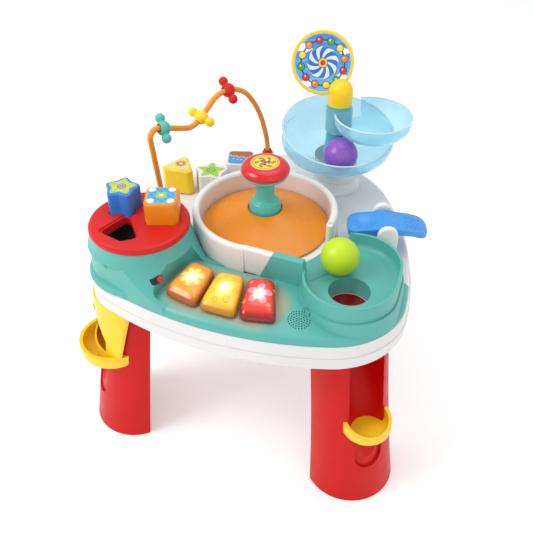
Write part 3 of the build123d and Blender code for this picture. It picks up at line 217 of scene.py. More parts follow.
def beyond(cx, cy, radius, top, nx, ny, reach):
    """A mask for what lies low, farther out than a radius and near a second point in the layout plan, in millimetres."""
    spot, near = at(cx, cy, 0), at(nx, ny, 0)

    def build(g):
        sep = g.nt.nodes.new("ShaderNodeSeparateXYZ")
        g.nt.links.new(g.coord, sep.inputs[0])
        dx = g.math("SUBTRACT", sep.outputs[0], spot.x)
        dy = g.math("SUBTRACT", sep.outputs[1], spot.y)
        d = g.math("SQRT", g.math("ADD", g.math("MULTIPLY", dx, dx), g.math("MULTIPLY", dy, dy)))
        low = g.ramp(sep.outputs[2], top * MM, (top + 0.6) * MM, 1.0, 0.0)
        ex = g.math("SUBTRACT", sep.outputs[0], near.x)
        ey = g.math("SUBTRACT", sep.outputs[1], near.y)
        e = g.math("SQRT", g.math("ADD", g.math("MULTIPLY", ex, ex), g.math("MULTIPLY", ey, ey)))
        low = g.math("MULTIPLY", low, g.ramp(e, (reach - 0.5) * MM, (reach + 0.5) * MM, 1.0, 0.0))
        return g.math("MULTIPLY", g.ramp(d, (radius - 0.4) * MM, (radius + 0.4) * MM), low)
    return build


def moulded(name, col, rough=0.30, vary=0.07, wear=0.35, grain=0.16, scuff=0.35, sub=0.0,
            sub_radius=(0.004, 0.003, 0.002), coat=0.0, paint=None, edges=True, speck=0.6, spec=0.5,
             zones=()):
    """Injection-moulded plastic: slow colour drift, faint flow marks, fine mould texture, handling scuffs, pale rubbed edges."""
    g = Graph(name)
    col = np.array(col, float)
    base = g.attribute(paint) if paint else col
    drift = g.ramp(g.noise(6.5, 3.0, 0.55), 0.30, 0.70)
    flow = g.ramp(g.noise(9.0, 2.0, 0.6, (1.0, 1.0, 5.0), (0.2, 0.1, 0.0)), 0.35, 0.68)
    fine = g.noise(1500.0, 1.0, 0.5)
    cloud = g.noise(42.0, 6.0, 0.66)
    if paint:
        shade = g.mix(g.math("MULTIPLY", drift, vary), base, (0, 0, 0))
        shade = g.mix(g.math("MULTIPLY", flow, vary * 0.5), shade, (1, 1, 1))
    else:
        dark = col * (1 - vary) * np.array([0.99, 0.985, 1.0])
        pale = np.clip(col * (1 + vary * 0.55) + vary * 0.03, 0, 1)
        shade = g.mix(drift, dark, pale)
        shade = g.mix(g.math("MULTIPLY", flow, 0.30), shade, col * (1 - vary * 0.8))
    if speck:
        dots = g.ramp(g.noise(620.0, 3.0, 0.7), 0.66, 0.80)
        shade = g.mix(g.math("MULTIPLY", dots, vary * speck), shade, np.clip(col * 0.55 + 0.05, 0, 1))
    scratch = g.ramp(g.noise(24.0, 5.0, 0.72, (1.0, 26.0, 6.0), (0.5, 0.3, 0.9)), 0.64, 0.76)
    patch = g.ramp(g.noise(13.0, 3.0, 0.6), 0.50, 0.66)
    rub = g.math("MULTIPLY", scratch, patch)
    shade = g.mix(g.math("MULTIPLY", rub, scuff * 0.35), shade, np.clip(col * 0.7 + 0.28, 0, 1))
    normal = None
    if edges:
        e, normal = g.edge(0.0009)
        worn = g.math("MULTIPLY", e, g.ramp(g.noise(70.0, 4.0, 0.7), 0.34, 0.66, 0.25, 1.0))
        shade = g.mix(g.math("MULTIPLY", worn, wear), shade, np.clip(col * 0.72 + 0.26, 0, 1))
    # Each zone mixes a given colour in over a mask: the console's zones are painted light and painted shade, the
    # basin's zone is a plain teal lane.
    for mask, tint in zones:
        shade = g.mix(mask(g), shade, g.mix(cloud, np.array(tint) * 0.85, np.array(tint)))
    ro = g.ramp(cloud, 0.28, 0.74, rough - 0.055, rough + 0.075)
    ro = g.math("MULTIPLY_ADD", rub, 0.22 * scuff, ro)
    height = g.math("MULTIPLY_ADD", cloud, 0.55, g.math("MULTIPLY", fine, 0.6))
    height = g.math("MULTIPLY_ADD", rub, -0.5 * scuff, height)
    g.set(Base_Color=shade, Roughness=ro, Normal=g.bump(height, grain, 0.00035, normal))
    g.set(IOR=1.47, Coat_Weight=coat, Coat_Roughness=0.12, Specular_IOR_Level=spec)
    if sub:
        g.set(Subsurface_Weight=sub, Subsurface_Radius=sub_radius, Subsurface_Scale=1.0)
    return g.mat


def clear(name, col, trans=0.85, rough=0.10, ior=1.40, vary=0.06, milk=0.0, glow=0.0):
    """Tinted translucent plastic with faint flow clouds, hairline scratches and a slightly uneven surface."""
    g = Graph(name)
    col = np.array(col, float)
    drift = g.ramp(g.noise(14.0, 4.0, 0.6), 0.30, 0.72)
    shade = g.mix(drift, col * (1 - vary), np.clip(col * (1 + vary), 0, 1))
    scratch = g.ramp(g.noise(30.0, 5.0, 0.7, (1.0, 30.0, 8.0), (0.7, 0.2, 0.4)), 0.62, 0.74)
    cloud = g.noise(60.0, 5.0, 0.62)
    ro = g.ramp(cloud, 0.30, 0.72, rough - 0.03, rough + 0.06)
    ro = g.math("MULTIPLY_ADD", scratch, 0.12, ro)
    height = g.math("MULTIPLY_ADD", scratch, -0.3, g.math("MULTIPLY", cloud, 0.8))
    g.set(Base_Color=shade, Roughness=ro, Normal=g.bump(height, 0.10, 0.0005))
    g.set(IOR=ior, Transmission_Weight=trans)
    # glow makes the plastic give off light of its own tint: painted light, the plastic is no lamp
    if glow:
        g.set(Emission_Color=col, Emission_Strength=glow)
    if milk:
        g.set(Subsurface_Weight=milk, Subsurface_Radius=(0.004, 0.006, 0.006), Subsurface_Scale=1.0)
    return g.mat


def metal(name, col, rough=0.32):
    g = Graph(name)
    col = np.array(col, float)
    brushed = g.noise(160.0, 4.0, 0.6, (1.0, 18.0, 1.0))
    tarnish = g.ramp(g.noise(90.0, 5.0, 0.65), 0.45, 0.75)
    shade = g.mix(g.math("MULTIPLY", tarnish, 0.45), col, col * np.array([0.62, 0.58, 0.52]))
    g.set(Base_Color=shade, Metallic=1.0, Roughness=g.ramp(brushed, 0.3, 0.7, rough - 0.08, rough + 0.12),
          Normal=g.bump(brushed, 0.2, 0.0002))
    return g.mat


def board_green(name):
    g = Graph(name)
    tracks = g.nt.nodes.new("ShaderNodeTexBrick")
    g.nt.links.new(g.coord, tracks.inputs["Vector"])
    tracks.inputs["Scale"].default_value = 110.0
    tracks.inputs["Mortar Size"].default_value = 0.06
    lines = g.ramp(tracks.outputs["Fac"], 0.2, 0.8)
    shade = g.mix(lines, srgb(18, 92, 46), srgb(52, 140, 72))
    shade = g.mix(g.ramp(g.noise(300.0, 4.0, 0.6), 0.5, 0.8, 0.0, 0.4), shade, srgb(14, 60, 34))
    g.set(Base_Color=shade, Roughness=g.ramp(g.noise(80.0, 3.0), 0.3, 0.7, 0.25, 0.45), Normal=g.bump(lines, 0.3, 0.0002))
    return g.mat


def soft_rubber(name, col):
    g = Graph(name)
    col = np.array(col, float)
    cloud = g.noise(90.0, 6.0, 0.7)
    shade = g.mix(g.ramp(cloud, 0.3, 0.7), col * 0.84, np.clip(col * 1.08 + 0.01, 0, 1))
    g.set(Base_Color=shade, Roughness=g.ramp(cloud, 0.3, 0.7, 0.55, 0.75), Normal=g.bump(g.noise(900.0, 2.0), 0.35, 0.0004))
    return g.mat


def floor_mat(name):
    g = Graph(name)
    grain = g.noise(60.0, 8.0, 0.6)
    shade = g.mix(g.ramp(grain, 0.3, 0.7), (0.955, 0.955, 0.955), (0.975, 0.975, 0.975))
    g.set(Base_Color=shade, Roughness=g.ramp(grain, 0.3, 0.7, 0.70, 0.85))
    g.bsdf.inputs["Specular IOR Level"].default_value = 0.15
    g.set(Emission_Color=(1.0, 1.0, 1.0), Emission_Strength=0.16)
    return g.mat


WHITE = moulded("white_plastic", srgb(228, 226, 224), rough=0.36, vary=0.03, wear=0.10, scuff=0.18, speck=0.3)
TEAL = moulded("teal_plastic", srgb(90, 176, 166), rough=0.40, vary=0.05, wear=0.18, scuff=0.25)
TEAL_GLOSS = moulded("teal_gloss_plastic", srgb(88, 186, 174), rough=0.27, vary=0.05)
RED = moulded("red_plastic", srgb(204, 10, 10), rough=0.36, vary=0.05, wear=0.10, scuff=0.12, speck=0.0, spec=0.22)
LID_RED = moulded("lid_red_plastic", srgb(204, 32, 28), rough=0.36, vary=0.05, speck=0.2, scuff=0.2, spec=0.3)
KNOB_RED = moulded("knob_red_plastic", srgb(212, 28, 34), rough=0.22, vary=0.06, coat=0.2)
YELLOW = moulded("yellow_plastic", srgb(248, 206, 26), rough=0.28, vary=0.07)
ORANGE = moulded("orange_plastic", srgb(236, 142, 28), rough=0.30, vary=0.08)
PLATE = moulded("plate_orange_plastic", srgb(228, 138, 22), rough=0.29, vary=0.06, scuff=0.2, speck=0.0)
BLUE = moulded("blue_plastic", srgb(62, 146, 222), rough=0.24, vary=0.07, coat=0.15)
DEEP_BLUE = moulded("block_blue_plastic", srgb(48, 128, 214), rough=0.26, vary=0.07)
GREEN = moulded("ball_green_plastic", srgb(190, 220, 28), rough=0.38, vary=0.05, sub=0.12)
PURPLE = moulded("ball_purple_plastic", srgb(140, 88, 186), rough=0.26, vary=0.06, sub=0.10)
# the clear bowls glow a little: painted light that brightens them
CLEAR_BLUE = clear("clear_blue_plastic", srgb(190, 230, 243), trans=0.74, rough=0.10, ior=1.22, glow=0.06)
CLEAR_TEAL = moulded("column_teal_plastic", srgb(74, 178, 192), rough=0.24, vary=0.06, speck=0.2)
RIM_BLUE = clear("bowl_rim_plastic", srgb(226, 244, 250), trans=0.25, rough=0.14, ior=1.25)
HOLLOW = moulded("shadowed_lining", srgb(22, 60, 62), rough=0.55, vary=0.15, speck=0.0)
# black plastic of the black parts; also used for the sorter lining as painted shade
BLACK = moulded("black_plastic", srgb(26, 26, 28), rough=0.45, vary=0.10)
STICKER = moulded("sticker_vinyl", srgb(236, 236, 230), rough=0.24, vary=0.03, scuff=0.2)
PRINT = moulded("sticker_print", srgb(200, 200, 200), rough=0.26, vary=0.05, scuff=0.25, grain=0.08, paint="print", edges=False)
STEEL = metal("screw_steel", srgb(190, 190, 192))
BOARD = board_green("circuit_board_lacquer")
RUBBER = soft_rubber("grey_silicone", srgb(150, 152, 156))


def lamp(name):
    g = Graph(name)
    cloud = g.noise(300.0, 3.0)
    g.set(Base_Color=g.mix(g.ramp(cloud, 0.3, 0.7), srgb(240, 240, 225), srgb(252, 250, 240)),
          Roughness=g.ramp(cloud, 0.3, 0.7, 0.15, 0.3), Emission_Color=(1.0, 0.86, 0.6, 1.0), Emission_Strength=2.0)
    return g.mat


LAMP = lamp("led_lens")

SLOTS = {"white": WHITE, "teal": TEAL, "red": RED, "lid_red": LID_RED, "yellow": YELLOW, "orange": ORANGE,
         "blue": BLUE, "clear_blue": CLEAR_BLUE, "clear_teal": CLEAR_TEAL, "green": GREEN, "purple": PURPLE,
         "print": STICKER, "black": BLACK, "board": BOARD, "silicone": RUBBER, "steel": STEEL, "lamp": LAMP,
         "key_orange": ORANGE, "key_yellow": YELLOW, "key_red": RED}
DRUM_TEAL = moulded("console_teal_plastic", srgb(90, 176, 166), rough=0.40, vary=0.05, wear=0.18, scuff=0.25,
                    # zone: a painted pool of warm light from the lit keys, spread over the teal tray round them
                    zones=[(near_line(-62.0, -165.0, 34.0, -173.0, 34.0, 20.0, 0.42, 356.0), srgb(240, 160, 90)),
                           # zone: painted shade, near-black teal on the inside of the drum's well
                           (well(-166.0, -110.4, 74.6, 280.0, 404.0), srgb(20, 48, 48))])
LANE_WHITE = moulded("basin_white_plastic", srgb(228, 226, 224), rough=0.36, vary=0.03, wear=0.10, scuff=0.18, speck=0.3,
                     zones=[(beyond(0.0, 0.0, 113.0, 368.0, 115.0, -75.0, 72.0), srgb(90, 176, 166))])
# the legs' red darkened: painted shade for the red guide down in the ball hole
SHADED_RED = moulded("guide_red_plastic", srgb(150, 10, 16), rough=0.40, vary=0.06, speck=0.0, scuff=0.15, spec=0.25)
OWN = {"console": DRUM_TEAL, "basin": LANE_WHITE,  "lever_pin": WHITE, "spin_plate": PLATE, "spinner_post": TEAL_GLOSS, "spinner_cap": KNOB_RED, "block_star": DEEP_BLUE}

first_names = {}
for name, obj in NODES.items():
    for i, slot in enumerate(obj.material_slots):
        slot_name = slot.material.name.split(".")[0] if slot.material else "white"
        first_names.setdefault(name, []).append(slot_name)
        slot.material = OWN.get(name, SLOTS.get(slot_name, WHITE))
    if not obj.material_slots:
        obj.data.materials.append(OWN.get(name, WHITE))
print("slots", first_names)


# ------------------------------------------------------------------ mesh helpers
def tree(node):
    me = NODES[node].data
    return BVHTree.FromPolygons([v.co.copy() for v in me.vertices], [tuple(p.vertices) for p in me.polygons])


def new_object(name, verts, faces, mat, body, colours=None, smooth=True):
    me = bpy.data.meshes.new(name)
    me.from_pydata([tuple(v) for v in verts], [], faces)
    me.validate()
    if smooth:
        me.polygons.foreach_set("use_smooth", [True] * len(me.polygons))
    for key, rgb in (colours or {}).items():
        a = me.color_attributes.new(key, "FLOAT_COLOR", "POINT")
        flat = np.ones((len(verts), 4), np.float32)
        flat[:, :3] = rgb
        a.data.foreach_set("color", flat.ravel())
    me.materials.append(mat)
    me.update()
    obj = bpy.data.objects.new(name, me)
    bpy.context.scene.collection.objects.link(obj)
    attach(obj, body)
    return obj


def polar_cap(radius_at, rings, segs, profile):
    """Closed cap built on rings of a star-convex outline. profile(k) gives (share of the radius, layer value)."""
    pts, layer = [(0.0, 0.0)], [profile(0)[1]]
    for k in range(1, rings + 1):
        share, value = profile(k)
        for i in range(segs):
            a = 2 * math.pi * i / segs
            r = radius_at[i] * share
            pts.append((r * math.cos(a), r * math.sin(a)))
            layer.append(value)
    faces = [(0, 1 + i, 1 + (i + 1) % segs) for i in range(segs)]
    for k in range(rings - 1):
        a0, b0 = 1 + k * segs, 1 + (k + 1) * segs
        for i in range(segs):
            j = (i + 1) % segs
            faces.append((a0 + i, b0 + i, b0 + j, a0 + j))
    return np.array(pts), layer, faces


def outline_of(node, centre, ux, uy, normal, segs, reach=60.0, inset=0.2):
    """Radius against angle of a flat sticker node, read from the vertices of its top face."""
    co = np.array([v.co for v in NODES[node].data.vertices], float) / MM
    c = np.array(centre) / MM
    rel = co - c
    h = rel @ np.array(normal)
    x, y = rel @ np.array(ux), rel @ np.array(uy)
    near = np.hypot(x, y) < reach
    top = h[near].max()
    keep = near & (h > top - 0.02)
    ang = np.arctan2(y[keep], x[keep])
    rad = np.hypot(x[keep], y[keep])
    order = np.argsort(ang)
    ang, rad = ang[order], rad[order]
    big = rad > rad.max() * 0.30
    px, py = rad[big] * np.cos(ang[big]), rad[big] * np.sin(ang[big])
    qx, qy = np.roll(px, -1), np.roll(py, -1)
    out = []
    for i in range(segs):
        t = 2 * math.pi * i / segs
        dx, dy = math.cos(t), math.sin(t)
        # distance along the ray to each side of the outline
        ex, ey = qx - px, qy - py
        det = dx * ey - dy * ex
        safe = np.where(np.abs(det) < 1e-9, 1e-9, det)
        far = (px * ey - py * ex) / safe
        share = (px * dy - py * dx) / safe
        hit = (np.abs(det) > 1e-9) & (far > 0) & (share > -1e-6) & (share < 1 + 1e-6)
        out.append((float(far[hit].min()) if hit.any() else float(rad[big].min())) - inset)
    return out, float(top)


def print_on(name, node, body, centre, ux, uy, paint, rings, segs=240, reach=60.0, inset=0.35, thick=0.10, whole=False):
    """A printed film on a sticker node: fine mesh, colours worked out from shapes."""
    normal = Vector(ux).cross(Vector(uy))
    radius_at, top = outline_of(node, centre, ux, uy, normal, segs, reach, inset)
    if whole:
        radius_at = [max(radius_at)] * segs
    xy, _, faces = polar_cap(radius_at, rings, segs, lambda k: (k / rings, 0))
    base = np.array(centre) / MM
    U, V, N = np.array(ux), np.array(uy), np.array(normal)
    lift = top + thick
    verts = base + xy[:, :1] * U + xy[:, 1:] * V + lift * N
    colours = paint(xy[:, 0], xy[:, 1])
    edge = xy[-segs:]
    skirt = base + edge[:, :1] * U + edge[:, 1:] * V + (top - 0.02) * N
    n = len(verts)
    verts = np.vstack([verts, skirt])
    colours = np.vstack([colours, colours[-segs:]])
    for i in range(segs):
        j = (i + 1) % segs
        faces.append((n - segs + i, n + i, n + j, n - segs + j))
    faces.append(tuple(n + i for i in reversed(range(segs))))
    return new_object(name, verts * MM, faces, PRINT, body, {"print": colours})


def smooth(v, lo, hi):
    t = np.clip((v - lo) / (hi - lo), 0, 1)
    return t * t * (3 - 2 * t)


def lay(base, mask, colour):
    return base * (1 - mask[:, None]) + np.asarray(colour)[None, :] * mask[:, None]


def disc(x, y, cx, cy, r, soft=0.35):
    return 1 - smooth(np.hypot(x - cx, y - cy), r - soft, r + soft)


def ring(x, y, cx, cy, r, w, soft=0.3):
    return 1 - smooth(np.abs(np.hypot(x - cx, y - cy) - r), w / 2 - soft / 2, w / 2 + soft)


def oval(x, y, cx, cy, a, b, turn, soft=0.1):
    c, s = math.cos(turn), math.sin(turn)
    u, v = (x - cx) * c + (y - cy) * s, -(x - cx) * s + (y - cy) * c
    return 1 - smooth(np.hypot(u / a, v / b), 1 - soft, 1 + soft)


def cloud_shape(x, y, cx, cy, s):
    m = np.zeros_like(x)
    for dx, dy, r in ((-1.5, 0, 1.0), (-0.4, 0.55, 1.25), (0.9, 0.25, 1.1), (1.9, -0.1, 0.8), (0.2, -0.25, 1.2)):
        m = np.maximum(m, disc(x, y, cx + dx * s, cy + dy * s, r * s))
    return m


# ------------------------------------------------------------------ printed stickers
def paint_sign(x, y):
    t = smooth(y, -46, 46)
    c = srgb(96, 180, 230)[None, :] * (1 - t[:, None]) + srgb(52, 140, 212)[None, :] * t[:, None]
    band = smooth(np.sin(y * 0.42 + 0.6 * np.sin(x * 0.11)), 0.55, 0.95) * 0.28
    c = lay(c, band, srgb(140, 205, 240))
    for cx, cy, s in ((-30, 22, 4.6), (31, -25, 4.8), (-25, -33, 4.4), (34, 18, 3.4)):
        c = lay(c, cloud_shape(x, y, cx, cy, s), srgb(246, 246, 244))
    # a paper windmill with eight sails inside a garland of plain dots
    r, a = np.hypot(x, y), np.arctan2(y, x)
    navy = srgb(26, 40, 96)
    c = lay(c, ring(x, y, 0, 0, 35.5, 2.0), navy)
    tints = (srgb(232, 128, 32), srgb(246, 214, 46), srgb(74, 158, 66), srgb(208, 30, 40))
    for k in range(12):
        t = 2 * math.pi * (k + 0.35) / 12
        c = lay(c, disc(x, y, 35.5 * math.cos(t), 35.5 * math.sin(t), 6.4), navy)
        c = lay(c, disc(x, y, 35.5 * math.cos(t), 35.5 * math.sin(t), 5.4), tints[k % 4])
        c = lay(c, disc(x, y, 35.5 * math.cos(t) - 1.2, 35.5 * math.sin(t) + 1.6, 1.5) * 0.7, srgb(250, 246, 234))
    swirl = (a + r * 0.030) / (2 * math.pi) * 8
    saw = swirl - np.floor(swirl)
    reach = 21 + 6 * (1 - saw)
    c = lay(c, 1 - smooth(r, reach + 0.9, reach + 1.7), navy)
    sail = 1 - smooth(r, reach - 0.4, reach + 0.4)
    c = lay(c, sail, srgb(214, 232, 246))
    c = lay(c, sail * smooth(saw, 0.50, 0.55), srgb(46, 104, 204))
    c = lay(c, sail * (1 - smooth(np.minimum(saw, 1 - saw) * r, 0.4, 0.9)), navy)
    c = lay(c, disc(x, y, 0, 0, 8.0), navy)
    c = lay(c, disc(x, y, 0, 0, 7.0), srgb(248, 214, 60))
    c = lay(c, disc(x, y, 0, 0, 4.4), srgb(208, 30, 40))
    return c


def paint_spinner(x, y):
    c = np.tile(srgb(250, 206, 28), (len(x), 1))
    c = lay(c, ring(x, y, 0, 0, 19.0, 1.2), srgb(208, 104, 24))
    for k in range(6):
        t = 2 * math.pi * k / 6 + 0.25
        c = lay(c, oval(x, y, 12.6 * math.cos(t), 12.6 * math.sin(t), 5.0, 2.5, t + 0.9), srgb(60, 134, 52))
        c = lay(c, oval(x, y, 12.6 * math.cos(t), 12.6 * math.sin(t), 3.4, 0.5, t + 0.9), srgb(148, 190, 84))
    for k in range(9):
        t = 2 * math.pi * k / 9
        tint = (srgb(200, 24, 30), srgb(28, 40, 100), srgb(248, 238, 222))[k % 3]
        c = lay(c, disc(x, y, 6.4 * math.cos(t), 6.4 * math.sin(t), 2.5, 0.25), srgb(120, 40, 20))
        c = lay(c, disc(x, y, 6.4 * math.cos(t), 6.4 * math.sin(t), 2.1, 0.25), tint)
    c = lay(c, disc(x, y, 0, 0, 3.6, 0.25), srgb(120, 40, 20))
    c = lay(c, disc(x, y, 0, 0, 3.1, 0.25), srgb(206, 30, 32))
    return c


def paint_star(x, y):
    c = np.tile(srgb(186, 206, 54), (len(x), 1))
    r = np.hypot(x, y)
    c = lay(c, smooth(r, 12.0, 22.0) * 0.5, srgb(122, 178, 58))
    for k in range(5):
        t = math.pi / 2 + 2 * math.pi * k / 5
        c = lay(c, disc(x, y, 11.5 * math.cos(t), 11.5 * math.sin(t), 1.9, 0.25), srgb(232, 136, 40))
    c = lay(c, disc(x, y, 0, 0, 6.9), srgb(92, 74, 160))
    c = lay(c, ring(x, y, 0, 0, 4.4, 1.4), srgb(196, 186, 230))
    c = lay(c, disc(x, y, 0, 0, 1.7), srgb(196, 186, 230))
    return c


def paint_square(x, y):
    c = np.tile(srgb(66, 156, 218), (len(x), 1))
    stripe = smooth(np.sin((x + y) * 0.55), 0.4, 0.8) * 0.35
    c = lay(c, stripe, srgb(120, 194, 234))
    for sx in (-1, 1):
        for sy in (-1, 1):
            c = lay(c, disc(x, y, 15.0 * sx, 15.0 * sy, 5.6), srgb(246, 246, 242))
    for k in range(4):
        t = math.pi / 4 + math.pi / 2 * k
        c = lay(c, disc(x, y, 5.0 * math.cos(t), 5.0 * math.sin(t), 4.5), srgb(158, 196, 48))
    c = lay(c, disc(x, y, 0, 0, 3.0), srgb(246, 244, 226))
    c = lay(c, disc(x, y, 0, 0, 1.4), srgb(236, 140, 40))
    return c


def paint_triangle(x, y):
    c = np.tile(srgb(214, 214, 128), (len(x), 1))
    for k in range(6):
        t = math.pi / 6 + 2 * math.pi * k / 6
        c = lay(c, disc(x, y, 6.4 * math.cos(t), 6.4 * math.sin(t), 3.7), srgb(222, 128, 46))
    c = lay(c, disc(x, y, 0, 0, 5.6), srgb(158, 82, 36))
    c = lay(c, disc(x, y, 0, 0, 3.6), srgb(248, 236, 214))
    c = lay(c, disc(x, y, 0, 0, 1.7), srgb(222, 128, 46))
    return c


def paint_peg_star(x, y):
    c = np.tile(srgb(160, 200, 66), (len(x), 1))
    c = lay(c, disc(x, y, 0, 0, 8.2), srgb(58, 150, 66))
    c = lay(c, ring(x, y, 0, 0, 5.2, 1.3), srgb(196, 216, 84))
    c = lay(c, disc(x, y, 0, 0, 2.2), srgb(196, 216, 84))
    return c


def paint_peg_square(x, y):
    c = np.tile(srgb(58, 146, 206), (len(x), 1))
    wave = y - 1.5 * np.sin(x * 0.5)
    c = lay(c, smooth(wave, 0.5, 1.2), srgb(160, 92, 52))
    c = lay(c, smooth(wave, 0.5, 1.2) * (1 - smooth(wave, 3.6, 4.3)), srgb(232, 168, 92))
    for k in range(4):
        c = lay(c, disc(x, y, -10.5 + 7 * k, -7.5, 1.5, 0.25), srgb(190, 226, 244))
    return c


def flat_axes(deg):
    a = math.radians(deg)
    ux = turned(math.cos(a), math.sin(a)).normalized()
    uy = turned(-math.sin(a), math.cos(a)).normalized()
    return ux, uy


ux, uy = flat_axes(10)
print_on("star_block_print", "star_sticker", "block_star", at(-200.5, -85, 448), ux, uy, paint_star, 54, 300)
ux, uy = flat_axes(15)
print_on("square_block_print", "square_sticker", "block_square", at(-134, -92, 448), ux, uy, paint_square, 50, 240)
lo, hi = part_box("triangle_sticker")
ux, uy = flat_axes(20)
print_on("triangle_block_print", "triangle_sticker", "block_triangle", (lo + hi) / 2, ux, uy, paint_triangle, 50, 240)
ux, uy = flat_axes(5)
print_on("star_peg_print", "peg_stickers", "table", at(-127.7, 109, 378), ux, uy, paint_peg_star, 50, 300, reach=30)
ux, uy = flat_axes(0)
print_on("square_peg_print", "peg_stickers", "table", at(-89.9, 163, 378), ux, uy, paint_peg_square, 50, 240, reach=30)
print_on("spinner_print", "spinner_sticker", "spinner", at(0, 0, 478), ux, uy, paint_spinner, 60, 240)
sn = turned(0.216, -0.912, 0.342).normalized()
sn = Vector((sn.x, sn.y, 0.342)).normalized()
sx = Vector((-sn.y, sn.x, 0.0)).normalized() if False else Vector((0, 0, 1)).cross(sn).normalized()
sy = sn.cross(sx).normalized()
print_on("sign_print", "sign_panel", "table", at(45, 194, 560), sx, sy, paint_sign, 120, 400, inset=0.5, whole=True)

# ------------------------------------------------------------------ light-up keys
QUADS = {"orange": [(-80, -122), (-103, -190), (-47, -206), (-38, -134)],
         "yellow": [(-36.2, -134), (-45, -206.3), (14, -211.6), (8.3, -137)],
         "red": [(10.8, -137), (16.6, -211.8), (72, -206), (51, -132)]}


def key_plane(y):
    return 0.13 * (y + 170.0)


def key_material(name, col):
    """Tinted translucent plastic lit from inside; the colours of the print, with painted shade on the side walls, and
    of the light are in the mesh.
    """
    g = Graph(name)
    base = g.attribute("print")
    drift = g.ramp(g.noise(70.0, 4.0, 0.6), 0.3, 0.7)
    shade = g.mix(g.math("MULTIPLY", drift, 0.16), base, np.array(col) * 0.5)
    speck = g.ramp(g.noise(420.0, 3.0, 0.7), 0.58, 0.76)
    shade = g.mix(g.math("MULTIPLY", speck, 0.22), shade, np.clip(np.array(col) * 1.3 + 0.1, 0, 1))
    cloud = g.noise(160.0, 5.0, 0.62)
    glow = g.mix(g.ramp(cloud, 0.25, 0.75, 0.0, 0.30), g.attribute("glow"), (0, 0, 0))
    g.set(Base_Color=shade, Roughness=g.ramp(cloud, 0.3, 0.7, 0.10, 0.20), IOR=1.49,
          Normal=g.bump(cloud, 0.10, 0.0006), Emission_Color=glow, Emission_Strength=1.0,
          Coat_Weight=0.35, Coat_Roughness=0.06)
    return g.mat


def paint_key(kind, x, y, r, edge):
    """Base colour and light of a key at x, y from its middle, with the side walls painted darker as painted shade; edge
    runs from 0 in the middle to 1 at the rim.
    """
    if kind == "orange":
        side, face, hot = srgb(176, 84, 8), srgb(232, 148, 40), srgb(255, 226, 140)
    elif kind == "yellow":
        side, face, hot = srgb(196, 126, 10), srgb(240, 190, 44), srgb(255, 236, 150)
    else:
        side, face, hot = srgb(150, 8, 14), srgb(214, 52, 40), srgb(255, 180, 150)
    c = np.tile(face, (len(x), 1))
    # painted shade: the side colour darkens the walls towards the rim, while the lit top keeps the face colour
    c = lay(c, smooth(edge, 0.70, 0.97), side)
    a = np.arctan2(y, x)
    art = np.zeros(len(x))
    if kind == "orange":
        for k in range(7):
            t = 2 * math.pi * k / 7 + 0.2
            m = oval(x, y, 12.0 * math.cos(t), 12.5 * math.sin(t) + 1, 6.2, 3.9, t, 0.09)
            c = lay(c, m * 0.85, srgb(186, 214, 110))
            art = np.maximum(art, m)
        c = lay(c, ring(x, y, 0, 1, 21.0, 1.1) * 0.55, srgb(206, 96, 26))
        for k in range(12):
            t = 2 * math.pi * k / 12
            c = lay(c, disc(x, y, 21.0 * math.cos(t), 21.0 * math.sin(t) + 1, 1.5, 0.3) * 0.8, srgb(226, 108, 34))
    elif kind == "yellow":
        for px, py, pr in ((-14, 14, 4.2), (12, 19, 4.8), (17, -2, 3.6), (-17, -8, 4.4), (9, -20, 4.6), (-7, -23, 3.4), (-3, 22, 2.8)):
            m = ring(x, y, px, py, pr, 1.2)
            c = lay(c, m * 0.8, srgb(222, 128, 40))
            c = lay(c, disc(x, y, px, py, pr * 0.45, 0.3) * 0.6, srgb(226, 150, 60))
            art = np.maximum(art, m * 0.4)
        c = lay(c, ring(x, y, 0, 0, 13.5, 0.9) * 0.55, srgb(170, 178, 72))
    else:
        for k in range(5):
            t = math.pi / 2 + 2 * math.pi * k / 5
            m = oval(x, y, 11.5 * math.cos(t), 12.5 * math.sin(t), 7.0, 5.0, t, 0.09)
            c = lay(c, m * 0.9, srgb(246, 150, 168))
            c = lay(c, oval(x, y, 12.5 * math.cos(t), 13.5 * math.sin(t), 4.0, 2.4, t, 0.12) * 0.8, srgb(238, 100, 146))
            art = np.maximum(art, m)
        for px, py in ((-17, 21), (19, 15), (-18, -16), (18, -17)):
            c = lay(c, disc(x, y, px, py, 3.0, 0.4) * 0.7, srgb(244, 150, 76))
    d = np.hypot(x, y * 0.86 + 1.0)
    core = np.exp(-(d / 6.4) ** 2)
    halo = np.exp(-(d / 15.0) ** 2)
    glow = core[:, None] * np.array([[2.2, 2.0, 1.6]]) + halo[:, None] * (hot * np.array([0.34, 0.30, 0.22]))[None, :]
    glow = glow + (0.16 + 0.10 * art)[:, None] * c * (1 - smooth(edge, 0.75, 1.0))[:, None]
    glow = glow + 0.10 * c
    return c, glow


